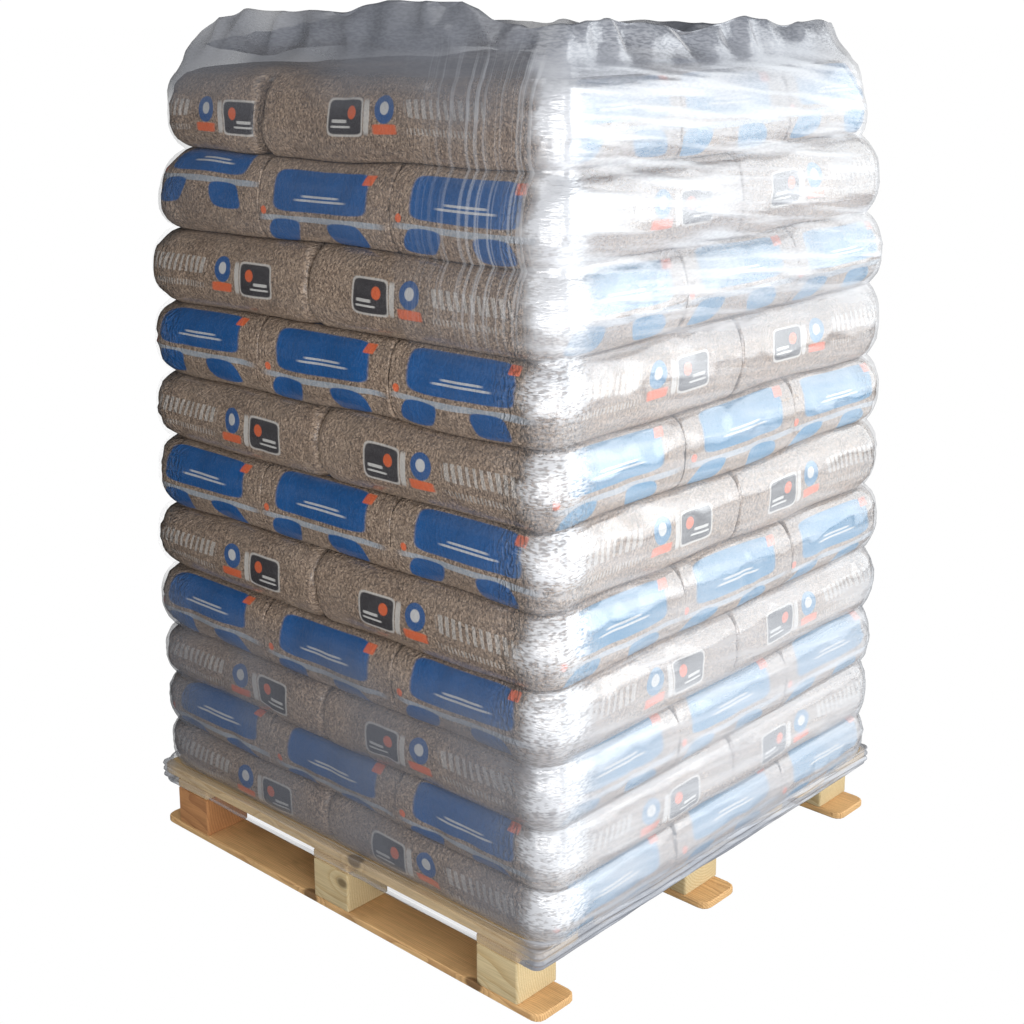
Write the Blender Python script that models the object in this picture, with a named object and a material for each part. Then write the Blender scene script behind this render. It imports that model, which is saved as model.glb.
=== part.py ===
"""Wooden block pallet with eleven layers of pellet sacks, held by a stretch wrap.

Metres, +Z up. X and Y are centred on the pallet and Z = 0 is the floor. The
bottom skids run along X and the front of the load faces -Y.
"""

import math

import bmesh
import bpy
import numpy as np

# Pallet
PALLET_SIDE = 1.140
TOUCH_GAP = 0.0003
SKID_WIDTH = 0.108
SKID_THICKNESS = 0.016
SKID_CORNER = 0.020
BLOCK_LENGTH_X = 0.106
BLOCK_WIDTH_Y = 0.111
BLOCK_TOP = 0.102
BLOCK_INSET_X = 0.052
STRINGER_TOP = 0.122
DECK_TOP = 0.144
DECK_BOARD_COUNT = 7
DECK_BOARD_WIDTH = 0.122
DECK_CORNER = 0.018
WOOD_EDGE = 0.0025
CORNER_STEPS = 3

# Sack layers, from the bottom up. Heights and half sizes are those of the
# pinched lines between layers, so each list has one more entry than layers.
SEAM_HEIGHTS = (
    DECK_TOP + TOUCH_GAP,
    0.250,
    0.369,
    0.492,
    0.632,
    0.777,
    0.923,
    1.067,
    1.223,
    1.375,
    1.536,
    1.690,
)
SEAM_HALF_X = (
    0.578,
    0.580,
    0.577,
    0.574,
    0.573,
    0.570,
    0.569,
    0.565,
    0.563,
    0.556,
    0.548,
    0.530,
)
SEAM_HALF_Y = (
    0.550,
    0.551,
    0.552,
    0.551,
    0.549,
    0.546,
    0.544,
    0.541,
    0.538,
    0.529,
    0.515,
    0.495,
)
BULGES = (0.011, 0.012, 0.015, 0.019, 0.022, 0.018, 0.019, 0.018, 0.022, 0.022, 0.016)
BULGE_POWER = 2.6
SIDE_STATIONS = (0.18, 0.50, 0.82)
EDGE_TUCK = 0.020
LOAD_CORNER = 0.080
LOAD_CORNER_STEPS = 4
GROOVE_PROFILE = (
    (-0.045, 0.0),
    (-0.018, 0.011),
    (0.0, 0.038),
    (0.018, 0.011),
    (0.045, 0.0),
)

# The load leans: heights change by this much for each metre of x + y, from
# nothing at the second seam to all of it at the fourth.
LEAN_SLOPE = 0.012
LEAN_START_HEIGHT = 0.250
LEAN_FULL_HEIGHT = 0.492

# Crown and grooves on top of the top layer
CROWN_INSETS = (0.060, 0.130)
CROWN_HEIGHTS = (1.708, 1.714)
TOP_GROOVE_HALF_WIDTH = 0.020
TOP_GROOVE_DEPTH = 0.030
TOP_GROOVE_SHIFT = 0.003
CUTTER_OVERRUN = 0.100

# Stretch wrap
WRAP_THICKNESS = 0.0012
WRAP_GAP = 0.0006
WRAP_DECK_CORNER = 0.012
WRAP_LOWER_EDGE = 0.1228
WRAP_OVER_DECK = 0.1465
WRAP_SHOULDER_HEIGHT = 1.725
WRAP_SHOULDER_INSET = 0.004
WRAP_RIM_HEIGHT = 1.778
WRAP_RIM_INSET = 0.026
WRAP_TOP_INSETS = (0.120, 0.300)
WRAP_TOP_HEIGHTS = (1.747, 1.741)
WRAP_STATIONS_X = (-0.30, 0.0, 0.24)
WRAP_STATIONS_Y = (-0.30, 0.0, 0.30)
RIM_WAVES = ((3, 0.004, 0.4), (7, 0.003, 1.9))
TUFT_X = 0.24
TUFT_HALF_WIDTH = 0.13
TUFT_HEIGHT = 0.026


def clear_scene():
    for old in list(bpy.data.objects):
        bpy.data.objects.remove(old, do_unlink=True)


def make_material(name, colour, roughness, alpha=1.0):
    material = bpy.data.materials.new(name)
    material.use_nodes = True
    shader = material.node_tree.nodes["Principled BSDF"]
    shader.inputs["Base Color"].default_value = (*colour, 1.0)
    shader.inputs["Roughness"].default_value = roughness
    shader.inputs["Alpha"].default_value = alpha
    return material


def add_object(name, vertices, faces, material):
    mesh = bpy.data.meshes.new(name)
    mesh.from_pydata([tuple(map(float, v)) for v in vertices], [], faces)
    work = bmesh.new()
    work.from_mesh(mesh)
    bmesh.ops.recalc_face_normals(work, faces=work.faces)
    work.to_mesh(mesh)
    work.free()
    mesh.materials.append(material)
    made = bpy.data.objects.new(name, mesh)
    bpy.context.scene.collection.objects.link(made)
    return made


def outline(half_x, half_y, radius, steps, stations_x=(), stations_y=()):
    """Points of a rounded rectangle, anticlockwise from the +X side.

    A station is (place along the side, depth cut into it).
    """
    points = []
    sides = (
        ((1, 0), (0, 1), half_x, half_y, stations_y),
        ((0, 1), (-1, 0), half_y, half_x, stations_x),
        ((-1, 0), (0, -1), half_x, half_y, stations_y),
        ((0, -1), (1, 0), half_y, half_x, stations_x),
    )
    for number, (normal, along, reach, run, stations) in enumerate(sides):
        flip = -1.0 if number in (1, 2) else 1.0
        placed = sorted((flip * place, depth) for place, depth in stations)
        for place, depth in placed:
            points.append(
                [
                    normal[axis] * (reach - depth) + along[axis] * place
                    for axis in (0, 1)
                ]
            )
        for step in range(steps + 1):
            angle = 0.5 * math.pi * step / steps
            points.append(
                [
                    normal[axis] * (reach - radius + radius * math.cos(angle))
                    + along[axis] * (run - radius + radius * math.sin(angle))
                    for axis in (0, 1)
                ]
            )
    return np.array(points)


def lean(points):
    """Adds the lean of the load to the heights of an array of points."""
    share = np.clip(
        (points[:, 2] - LEAN_START_HEIGHT) / (LEAN_FULL_HEIGHT - LEAN_START_HEIGHT),
        0.0,
        1.0,
    )
    leaned = points.copy()
    leaned[:, 2] += LEAN_SLOPE * share * (points[:, 0] + points[:, 1])
    return leaned


def level(plan, height):
    return np.column_stack([plan, np.broadcast_to(height, len(plan))])


def skin_rings(rings):
    """Quads between neighbouring rings, and a flat cap on the first and the last."""
    count = len(rings[0])
    faces = []
    for lower in range(len(rings) - 1):
        for i in range(count):
            j = (i + 1) % count
            low = lower * count
            high = low + count
            faces.append((low + i, low + j, high + j, high + i))
    faces.append(tuple(range(count)))
    faces.append(tuple((len(rings) - 1) * count + i for i in range(count)))
    return np.vstack(rings), faces


def add_timber(name, centre, size, heights, corner, material):
    """A sawn board or block: rounded corners in plan and eased long edges."""
    rings = []
    half_x = size[0] / 2
    half_y = size[1] / 2
    low, high = heights
    for inset, height in (
        (WOOD_EDGE, low),
        (0.0, low + WOOD_EDGE),
        (0.0, high - WOOD_EDGE),
        (WOOD_EDGE, high),
    ):
        plan = outline(
            half_x - inset, half_y - inset, corner - inset / 2, CORNER_STEPS
        )
        rings.append(level(plan + np.array(centre), height))
    vertices, faces = skin_rings(rings)
    return add_object(name, vertices, faces, material)


def add_pallet():
    skid_wood = make_material("skid_wood", (0.62, 0.45, 0.26), 0.8)
    block_wood = make_material("block_wood", (0.72, 0.60, 0.36), 0.8)
    board_wood = make_material("board_wood", (0.66, 0.52, 0.33), 0.8)
    row_y = (PALLET_SIDE - BLOCK_WIDTH_Y) / 2
    rows = {"front": -row_y, "middle": 0.0, "rear": row_y}
    column_x = PALLET_SIDE / 2 - BLOCK_INSET_X - BLOCK_LENGTH_X / 2
    columns = {"left": -column_x, "middle": 0.0, "right": column_x}
    skid_y = (PALLET_SIDE - SKID_WIDTH) / 2
    skids = {"front": -skid_y, "middle": 0.0, "rear": skid_y}
    for row, y in skids.items():
        add_timber(
            f"skid_{row}",
            (0.0, y),
            (PALLET_SIDE, SKID_WIDTH),
            (0.0, SKID_THICKNESS),
            SKID_CORNER,
            skid_wood,
        )
    for row, y in rows.items():
        for column, x in columns.items():
            add_timber(
                f"block_{row}_{column}",
                (x, y),
                (BLOCK_LENGTH_X, BLOCK_WIDTH_Y),
                (SKID_THICKNESS + TOUCH_GAP, BLOCK_TOP),
                2 * WOOD_EDGE,
                block_wood,
            )
    for column, x in columns.items():
        add_timber(
            f"stringer_{column}",
            (x, 0.0),
            (BLOCK_LENGTH_X, PALLET_SIDE),
            (BLOCK_TOP + TOUCH_GAP, STRINGER_TOP),
            2 * WOOD_EDGE,
            board_wood,
        )
    pitch = (PALLET_SIDE - DECK_BOARD_WIDTH) / (DECK_BOARD_COUNT - 1)
    for number in range(DECK_BOARD_COUNT):
        y = -(PALLET_SIDE - DECK_BOARD_WIDTH) / 2 + number * pitch
        add_timber(
            f"deck_board_{number + 1}",
            (0.0, y),
            (PALLET_SIDE, DECK_BOARD_WIDTH),
            (STRINGER_TOP + TOUCH_GAP, DECK_TOP),
            DECK_CORNER,
            board_wood,
        )


def layer_half(layer, share, axis_seams):
    """Half size of the load at a share of a layer's height."""
    seam = axis_seams[layer] * (1 - share) + axis_seams[layer + 1] * share
    return seam + BULGES[layer] * (1 - abs(2 * share - 1) ** BULGE_POWER)


def layer_height(layer, share):
    return SEAM_HEIGHTS[layer] * (1 - share) + SEAM_HEIGHTS[layer + 1] * share


def groove_stations(places):
    return tuple(
        (place + shift, depth) for place in places for shift, depth in GROOVE_PROFILE
    )


def layer_seams(layer):
    """Places of the gaps along X and along Y; layers are turned by turns."""
    third_x = SEAM_HALF_X[layer] / 3
    third_y = SEAM_HALF_Y[layer] / 3
    if layer % 2 == 0:
        return (0.0,), (-third_y, third_y)
    return (-third_x, third_x), (0.0,)


def add_sack_layer(layer, material):
    seams_x, seams_y = layer_seams(layer)
    stations_x = groove_stations(seams_x)
    stations_y = groove_stations(seams_y)
    top_layer = layer == len(BULGES) - 1
    rings = []
    for share in (0.0, *SIDE_STATIONS, 1.0):
        tuck = EDGE_TUCK if share in (0.0, 1.0) else 0.0
        plan = outline(
            layer_half(layer, share, SEAM_HALF_X) - tuck,
            layer_half(layer, share, SEAM_HALF_Y) - tuck,
            LOAD_CORNER,
            LOAD_CORNER_STEPS,
            stations_x,
            stations_y,
        )
        lift = TOUCH_GAP if share == 0.0 and layer > 0 else 0.0
        rings.append(level(plan, layer_height(layer, share) + lift))
    if top_layer:
        for inset, height in zip(CROWN_INSETS, CROWN_HEIGHTS):
            plan = outline(
                SEAM_HALF_X[-1] - inset,
                SEAM_HALF_Y[-1] - inset,
                LOAD_CORNER,
                LOAD_CORNER_STEPS,
                stations_x,
                stations_y,
            )
            rings.append(level(plan, height))
    vertices, faces = skin_rings(rings)
    made = add_object(f"sack_layer_{layer + 1:02d}", lean(vertices), faces, material)
    if top_layer:
        cut_top_grooves(made, seams_x, seams_y)


def add_groove_cutter(name, seams, along_axis, reach):
    """V-shaped prisms, point down, over the top face of the top layer."""
    floor = CROWN_HEIGHTS[-1] - TOP_GROOVE_DEPTH
    roof = CROWN_HEIGHTS[-1] + TOP_GROOVE_DEPTH
    vertices = []
    faces = []
    for seam in seams:
        middle = seam + TOP_GROOVE_SHIFT
        first = len(vertices)
        for end in (-reach, reach):
            for across, height in (
                (0.0, floor),
                (2 * TOP_GROOVE_HALF_WIDTH, roof),
                (-2 * TOP_GROOVE_HALF_WIDTH, roof),
            ):
                side = middle + across
                place = (end, side) if along_axis == 0 else (side, end)
                vertices.append((*place, height))
        faces += [
            (first, first + 1, first + 2),
            (first + 3, first + 5, first + 4),
            (first, first + 3, first + 4, first + 1),
            (first + 1, first + 4, first + 5, first + 2),
            (first + 2, first + 5, first + 3, first),
        ]
    cutter_material = make_material(name, (0.5, 0.5, 0.5), 0.5)
    cutter = add_object(name, lean(np.array(vertices)), faces, cutter_material)
    cutter.hide_render = True
    cutter.display_type = "WIRE"
    return cutter


def cut_top_grooves(layer_object, seams_x, seams_y):
    cutters = (
        add_groove_cutter("cutter_across", seams_x, 1, SEAM_HALF_Y[-1] + CUTTER_OVERRUN),
        add_groove_cutter("cutter_along", seams_y, 0, SEAM_HALF_X[-1] + CUTTER_OVERRUN),
    )
    for cutter in cutters:
        cut = layer_object.modifiers.new(cutter.name, "BOOLEAN")
        cut.operation = "DIFFERENCE"
        cut.solver = "EXACT"
        cut.object = cutter


def rim_height(plan):
    """Height of the loose upper rim: slow waves round it and one tall tuft."""
    turn = np.arctan2(plan[:, 1], plan[:, 0])
    height = np.full(len(plan), WRAP_RIM_HEIGHT)
    for waves, size, phase in RIM_WAVES:
        height += size * np.sin(waves * turn + phase)
    near = np.clip(1 - np.abs(plan[:, 0] - TUFT_X) / TUFT_HALF_WIDTH, 0.0, 1.0)
    return height + TUFT_HEIGHT * near * (plan[:, 1] < -SEAM_HALF_Y[-1] / 2)


def wrap_rings(grow):
    """Rings of the wrap from its lower edge to the middle of its top."""
    stations_x = tuple((place, 0.0) for place in WRAP_STATIONS_X)
    stations_y = tuple((place, 0.0) for place in WRAP_STATIONS_Y)

    def ring(half_x, half_y, radius, height):
        plan = outline(
            half_x + grow,
            half_y + grow,
            radius + grow,
            LOAD_CORNER_STEPS,
            stations_x,
            stations_y,
        )
        return level(plan, height)

    deck = PALLET_SIDE / 2
    rings = [
        ring(deck, deck, WRAP_DECK_CORNER, WRAP_LOWER_EDGE),
        ring(deck, deck, WRAP_DECK_CORNER, WRAP_OVER_DECK),
    ]
    for layer in range(len(BULGES)):
        shares = SIDE_STATIONS if layer == 0 else (0.0, *SIDE_STATIONS)
        for share in shares:
            rings.append(
                ring(
                    layer_half(layer, share, SEAM_HALF_X),
                    layer_half(layer, share, SEAM_HALF_Y),
                    LOAD_CORNER,
                    layer_height(layer, share),
                )
            )
    top_x = SEAM_HALF_X[-1]
    top_y = SEAM_HALF_Y[-1]
    rings.append(
        ring(
            top_x - WRAP_SHOULDER_INSET,
            top_y - WRAP_SHOULDER_INSET,
            LOAD_CORNER,
            WRAP_SHOULDER_HEIGHT + grow,
        )
    )
    rim = ring(top_x - WRAP_RIM_INSET, top_y - WRAP_RIM_INSET, LOAD_CORNER, 0.0)
    rim[:, 2] = rim_height(rim[:, :2]) + grow
    rings.append(rim)
    for inset, height in zip(WRAP_TOP_INSETS, WRAP_TOP_HEIGHTS):
        rings.append(ring(top_x - inset, top_y - inset, LOAD_CORNER, height + grow))
    return [lean(r) for r in rings]


def add_stretch_wrap():
    material = make_material("stretch_film", (0.80, 0.82, 0.86), 0.2, 0.35)
    inner = wrap_rings(WRAP_GAP)
    outer = wrap_rings(WRAP_GAP + WRAP_THICKNESS)
    count = len(inner[0])
    vertices = np.vstack(outer + inner)
    skirt = len(outer) * count
    faces = []
    for rings, first in ((outer, 0), (inner, skirt)):
        _, skin = skin_rings(rings)
        skin.pop(-2)
        faces += [tuple(first + corner for corner in face) for face in skin]
    for i in range(count):
        j = (i + 1) % count
        faces.append((i, j, skirt + j, skirt + i))
    add_object("stretch_wrap", vertices, faces, material)


def main():
    clear_scene()
    add_pallet()
    sack_film = make_material("sack_film", (0.55, 0.42, 0.30), 0.35)
    for layer in range(len(BULGES)):
        add_sack_layer(layer, sack_film)
    add_stretch_wrap()


main()
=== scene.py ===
"""Visual model of a stretch-wrapped pallet of pellet sacks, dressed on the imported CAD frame.

Metres, +Z up. X and Y are centred on the pallet and Z = 0 is the floor. The front of
the load faces -Y.
"""

import logging
import math
from collections.abc import Callable
from dataclasses import dataclass, field
from enum import Enum

import bpy
import numpy as np
from mathutils import Matrix


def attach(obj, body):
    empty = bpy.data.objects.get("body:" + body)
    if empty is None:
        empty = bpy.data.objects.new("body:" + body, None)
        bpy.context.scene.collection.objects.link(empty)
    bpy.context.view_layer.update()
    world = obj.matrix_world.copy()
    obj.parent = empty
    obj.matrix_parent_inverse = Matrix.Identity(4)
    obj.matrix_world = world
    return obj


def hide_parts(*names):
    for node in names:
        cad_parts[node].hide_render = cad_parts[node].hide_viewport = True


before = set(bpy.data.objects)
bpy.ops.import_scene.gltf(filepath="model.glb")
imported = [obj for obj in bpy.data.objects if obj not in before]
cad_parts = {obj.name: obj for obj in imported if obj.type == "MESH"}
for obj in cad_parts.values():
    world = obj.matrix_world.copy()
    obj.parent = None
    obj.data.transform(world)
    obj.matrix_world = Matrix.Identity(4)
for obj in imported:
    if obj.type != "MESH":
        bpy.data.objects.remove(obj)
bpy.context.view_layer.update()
LOG = logging.getLogger("pallet_of_sacks")

Array = np.ndarray
Socket = bpy.types.NodeSocket
Colour = tuple[float, float, float]

DAYLIGHT: Colour = (0.94, 0.98, 1.0)
PALE_DAYLIGHT: Colour = (0.96, 0.99, 1.0)
SOFT_WHITE: Colour = (0.98, 0.99, 1.0)


class Panel(Enum):
    """What part of a sack a patch of its skin belongs to, as the shift of its U."""

    END = 0.0
    LONG = 10.0
    FLAT = 20.0
    INNER = 30.0


# Arrays and meshes


def waves(points: Array, seed: int, shortest: float, longest: float, count: int = 14) -> Array:
    """Smooth noise near -1 to 1: a sum of sine waves of random direction and length.

    Each wave is sin(2 pi (p . d) / length + phase), weighted by the root of its length.

    Args:
        points: array whose last axis is the coordinates.
        seed: number of the random stream.
        shortest: shortest wave length, in metres.
        longest: longest wave length, in metres.
        count: how many waves are added up.

    Returns:
        One value for each point.
    """
    stream = np.random.default_rng(seed)
    size = points.shape[-1]
    direction = stream.normal(size=(count, size))
    direction /= np.linalg.norm(direction, axis=1, keepdims=True)
    length = np.exp(stream.uniform(math.log(shortest), math.log(longest), count))
    phase = stream.uniform(0.0, 2 * math.pi, count)
    weight = np.sqrt(length)
    angle = points @ (2 * math.pi * direction / length[:, None]).T + phase
    return (np.sin(angle) @ weight) / math.sqrt(0.9 * float(np.sum(weight**2)))


def smooth(value: Array, low: float, high: float) -> Array:
    """Smooth step: 0 at low, 1 at high, 3 s^2 - 2 s^3 between."""
    share = np.clip((value - low) / (high - low), 0.0, 1.0)
    return share * share * (3 - 2 * share)


def grid_normals(points: Array) -> Array:
    """Unit normals of a grid that closes along its second axis.

    Args:
        points: array of rows, columns and coordinates, columns anticlockwise from above.

    Returns:
        The cross product of the column direction and the row direction, of length 1.
    """
    along = np.roll(points, -1, axis=1) - np.roll(points, 1, axis=1)
    up = np.gradient(points, axis=0)
    normal = np.cross(along, up)
    return normal / np.maximum(np.linalg.norm(normal, axis=2, keepdims=True), 1e-12)


def ring_faces(rows: int, columns: int) -> Array:
    """Quads between the rows of a grid that closes along its columns.

    Each quad joins columns i and i + 1 of a row to those of the row above it.

    Args:
        rows: number of rows.
        columns: number of columns.

    Returns:
        Four vertex indices for each quad.
    """
    first = (np.arange(rows - 1) * columns)[:, None]
    here = np.arange(columns)[None, :]
    after = (here + 1) % columns
    quads = np.stack(
        [first + here, first + after, first + columns + after, first + columns + here], axis=-1
    )
    return quads.reshape(-1, 4)


def fan(first: int, columns: int, pole: int) -> Array:
    """Triangles from a ring of vertices to a pole above it."""
    here = first + np.arange(columns)
    return np.stack([here, np.roll(here, -1), np.full(columns, pole)], -1)


def rounded_rings(
    centres: list[Array], radii: list[Array], count: Callable[[int, float], int], steps: int
) -> tuple[Array, Array]:
    """Rings of a rounded rectangle, one for each height, with the same columns in each.

    Sides and corners count from +X and from +X +Y, anticlockwise from above.

    Args:
        centres: centre of the arc at each of the four corners, by ring.
        radii: radius of that arc, by ring.
        count: number of columns on a side, from its number and its length.
        steps: how many steps an arc has.

    Returns:
        Plan points as rows, columns and two coordinates, and the side of each column.
    """
    parts, sides = [], []
    for side in range(4):
        angle = side * math.pi / 2
        normal = np.array([math.cos(angle), math.sin(angle)])
        before = (side + 3) % 4
        start = centres[before] + radii[before][:, None] * normal
        stop = centres[side] + radii[side][:, None] * normal
        columns = count(side, float(np.abs(stop - start).max()))
        run = (np.arange(columns) + 0.5) / columns
        parts.append(start[:, None] * (1 - run[:, None]) + stop[:, None] * run[:, None])
        turn = angle + 0.5 * math.pi * np.arange(steps + 1) / steps
        arc = np.stack([np.cos(turn), np.sin(turn)], -1)
        parts.append(centres[side][:, None] + radii[side][:, None, None] * arc)
        sides += [side] * (columns + steps // 2 + 1) + [(side + 1) % 4] * (steps - steps // 2)
    return np.concatenate(parts, axis=1), np.array(sides)


def build_mesh(name: str, points: Array, quads: Array, fans: Array) -> bpy.types.Object:
    """Makes a smooth shaded mesh object of quads and triangles.

    Args:
        name: name of the object and its mesh.
        points: array of vertex positions.
        quads: array of four indices for each quad.
        fans: array of three indices for each triangle, which may be empty.

    Returns:
        The new object, linked to the scene.
    """
    mesh = bpy.data.meshes.new(name)
    mesh.vertices.add(len(points))
    mesh.vertices.foreach_set("co", np.ascontiguousarray(points, np.float32).ravel())
    loops = np.concatenate([quads.ravel(), fans.ravel()]).astype(np.int32)
    starts = np.concatenate(
        [np.arange(len(quads)) * 4, 4 * len(quads) + np.arange(len(fans)) * 3]
    ).astype(np.int32)
    mesh.loops.add(len(loops))
    mesh.loops.foreach_set("vertex_index", loops)
    mesh.polygons.add(len(starts))
    mesh.polygons.foreach_set("loop_start", starts)
    mesh.polygons.foreach_set("use_smooth", np.ones(len(starts), bool))
    mesh.update(calc_edges=True)
    mesh.validate()
    made = bpy.data.objects.new(name, mesh)
    bpy.context.scene.collection.objects.link(made)
    return made


def set_uv(mesh: bpy.types.Mesh, name: str, uv: Array) -> None:
    """Gives the mesh a UV map with one pair for each face corner."""
    layer = mesh.uv_layers.new(name=name)
    layer.data.foreach_set("uv", uv.astype(np.float32).ravel())


def set_value(mesh: bpy.types.Mesh, name: str, value: Array) -> None:
    """Gives the mesh a named number at each vertex."""
    attribute = mesh.attributes.new(name, "FLOAT", "POINT")
    attribute.data.foreach_set("value", value.astype(np.float32).ravel())


# Shader graphs


class Graph:
    """Adds nodes to one shader tree and links them."""

    def __init__(self, tree: bpy.types.NodeTree) -> None:
        """Keeps the tree that the nodes go into."""
        self.tree = tree

    def node(self, kind: str, **settings: object) -> bpy.types.Node:
        """Adds a node of that type and sets its properties.

        Args:
            kind: type name of the node.
            settings: its properties by name.

        Returns:
            The new node.
        """
        made = self.tree.nodes.new(kind)
        for key, value in settings.items():
            setattr(made, key, value)
        return made

    def feed(self, target: Socket, source: object) -> None:
        """Links a socket to the target, or sets the target's own value.

        Args:
            target: input socket.
            source: a socket, a plain value, or None to leave the target alone.
        """
        if isinstance(source, Socket):
            self.tree.links.new(source, target)
        elif source is not None:
            target.default_value = source

    def fill(self, made: bpy.types.Node, **inputs: object) -> None:
        """Feeds inputs of a node by name, with underscores for spaces."""
        for key, source in inputs.items():
            self.feed(made.inputs[key.replace("_", " ")], source)

    def math(self, operation: str, a: object, b: object = None, c: object = None) -> Socket:
        """Adds one Math node.

        Args:
            operation: name of the operation.
            a: first number or socket.
            b: second one, if any.
            c: third one, if any.

        Returns:
            The result's socket.
        """
        made = self.node("ShaderNodeMath", operation=operation)
        for socket, source in zip(made.inputs, (a, b, c)):
            self.feed(socket, source)
        return made.outputs[0]

    def limit(self, value: object) -> Socket:
        """The value kept between 0 and 1.

        Args:
            value: number or socket.

        Returns:
            Socket of the limited value.
        """
        made = self.node("ShaderNodeClamp")
        self.feed(made.inputs["Value"], value)
        return made.outputs[0]

    def vector(self, operation: str, a: object, b: object = None) -> Socket:
        """One Vector Math node; its vector, or its number for LENGTH.

        Args:
            operation: name of the operation.
            a: first vector or socket.
            b: second one, if any.

        Returns:
            The result's socket.
        """
        made = self.node("ShaderNodeVectorMath", operation=operation)
        self.feed(made.inputs[0], a)
        self.feed(made.inputs[1], b)
        return made.outputs["Value" if operation == "LENGTH" else "Vector"]

    def split(self, vector: Socket) -> tuple[Socket, ...]:
        """The X, Y and Z of a vector.

        Args:
            vector: socket of the vector.

        Returns:
            The three sockets.
        """
        made = self.node("ShaderNodeSeparateXYZ")
        self.feed(made.inputs[0], vector)
        return tuple(made.outputs)

    def join(self, x: object, y: object, z: object = 0.0) -> Socket:
        """A vector of three numbers.

        Args:
            x: number or socket.
            y: number or socket.
            z: number or socket.

        Returns:
            Socket of the vector.
        """
        made = self.node("ShaderNodeCombineXYZ")
        for socket, source in zip(made.inputs, (x, y, z)):
            self.feed(socket, source)
        return made.outputs[0]

    def step(
        self, value: object, low: object, high: object, to_low: object = 0.0, to_high: object = 1.0
    ) -> Socket:
        """Smooth step of the value from low to high.

        Args:
            value: number or socket.
            low: where the step starts.
            high: where it ends.
            to_low: result below the step.
            to_high: result above it.

        Returns:
            The result's socket.
        """
        made = self.node("ShaderNodeMapRange", interpolation_type="SMOOTHSTEP")
        for socket, source in zip(made.inputs, (value, low, high, to_low, to_high)):
            self.feed(socket, source)
        return made.outputs[0]

    def mix(self, share: object, a: object, b: object) -> Socket:
        """Mix of two colours; a colour may be a socket or three numbers.

        Args:
            share: how much of b there is.
            a: first colour.
            b: second colour.

        Returns:
            Socket of the mixed colour.
        """
        made = self.node("ShaderNodeMix", data_type="RGBA")
        self.feed(made.inputs[0], share)
        for socket, source in ((made.inputs[6], a), (made.inputs[7], b)):
            self.feed(socket, (*source, 1.0) if isinstance(source, tuple) else source)
        return made.outputs[2]

    def noise(
        self,
        vector: object,
        scale: float,
        detail: float = 2.0,
        roughness: float = 0.5,
        flat: bool = False,
    ) -> Socket:
        """Noise value of a vector, of three or two dimensions.

        Args:
            vector: socket of the place.
            scale: noise cells in a metre.
            detail: finer octaves.
            roughness: share of each finer octave.
            flat: whether it has only two dimensions.

        Returns:
            Socket of the noise, from 0 to 1.
        """
        made = self.node("ShaderNodeTexNoise", noise_dimensions="2D" if flat else "3D")
        self.fill(made, Vector=vector, Scale=scale, Detail=detail, Roughness=roughness)
        return made.outputs[0]

    def cells(
        self, vector: object, scale: float, flat: bool = True, random: float = 1.0
    ) -> bpy.types.Node:
        """Voronoi node; its outputs are Distance, Color and Position.

        Args:
            vector: socket of the place.
            scale: cells in a metre.
            flat: whether it has only two dimensions.
            random: how uneven the cells are.

        Returns:
            The node.
        """
        made = self.node("ShaderNodeTexVoronoi", voronoi_dimensions="2D" if flat else "3D")
        self.fill(made, Vector=vector, Scale=scale, Randomness=random)
        return made

    def bump(
        self, height: object, distance: float, strength: object, normal: object = None
    ) -> Socket:
        """Normal of a height map.

        Args:
            height: socket of the height.
            distance: height in metres of a full step.
            strength: share of it, a number or socket.
            normal: socket of a coarser normal below it.

        Returns:
            Socket of the normal.
        """
        made = self.node("ShaderNodeBump")
        self.fill(made, Strength=strength, Distance=distance, Height=height, Normal=normal)
        return made.outputs[0]

    def uv(self, name: str) -> Socket:
        """A named UV map of the piece."""
        return self.node("ShaderNodeUVMap", uv_map=name).outputs[0]

    def value(self, name: str) -> Socket:
        """A named number of the piece's vertices."""
        return self.node("ShaderNodeAttribute", attribute_name=name).outputs["Fac"]

    def place(self) -> Socket:
        """Object coordinates."""
        return self.node("ShaderNodeTexCoord").outputs["Object"]

    def group(self, tree: bpy.types.NodeTree, **inputs: object) -> bpy.types.Node:
        """A node group with its inputs filled by name.

        Args:
            tree: the node group.
            inputs: what feeds each input, by name.

        Returns:
            The group node.
        """
        made = self.node("ShaderNodeGroup", node_tree=tree)
        self.fill(made, **inputs)
        return made


def new_group(
    name: str, inputs: dict[str, str], outputs: dict[str, str]
) -> tuple[Graph, dict[str, Socket], dict[str, Socket]]:
    """Starts a shader node group.

    Args:
        name: name of the group.
        inputs: socket type of each input by name.
        outputs: socket type of each output by name.

    Returns:
        The graph, the group's input sockets by name, and its output targets by name.
    """
    tree = bpy.data.node_groups.new(name, "ShaderNodeTree")
    for key, kind in inputs.items():
        tree.interface.new_socket(name=key, in_out="INPUT", socket_type=f"NodeSocket{kind}")
    for key, kind in outputs.items():
        tree.interface.new_socket(name=key, in_out="OUTPUT", socket_type=f"NodeSocket{kind}")
    graph = Graph(tree)
    start = graph.node("NodeGroupInput")
    end = graph.node("NodeGroupOutput")
    return graph, {k: start.outputs[k] for k in inputs}, {k: end.inputs[k] for k in outputs}


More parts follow.
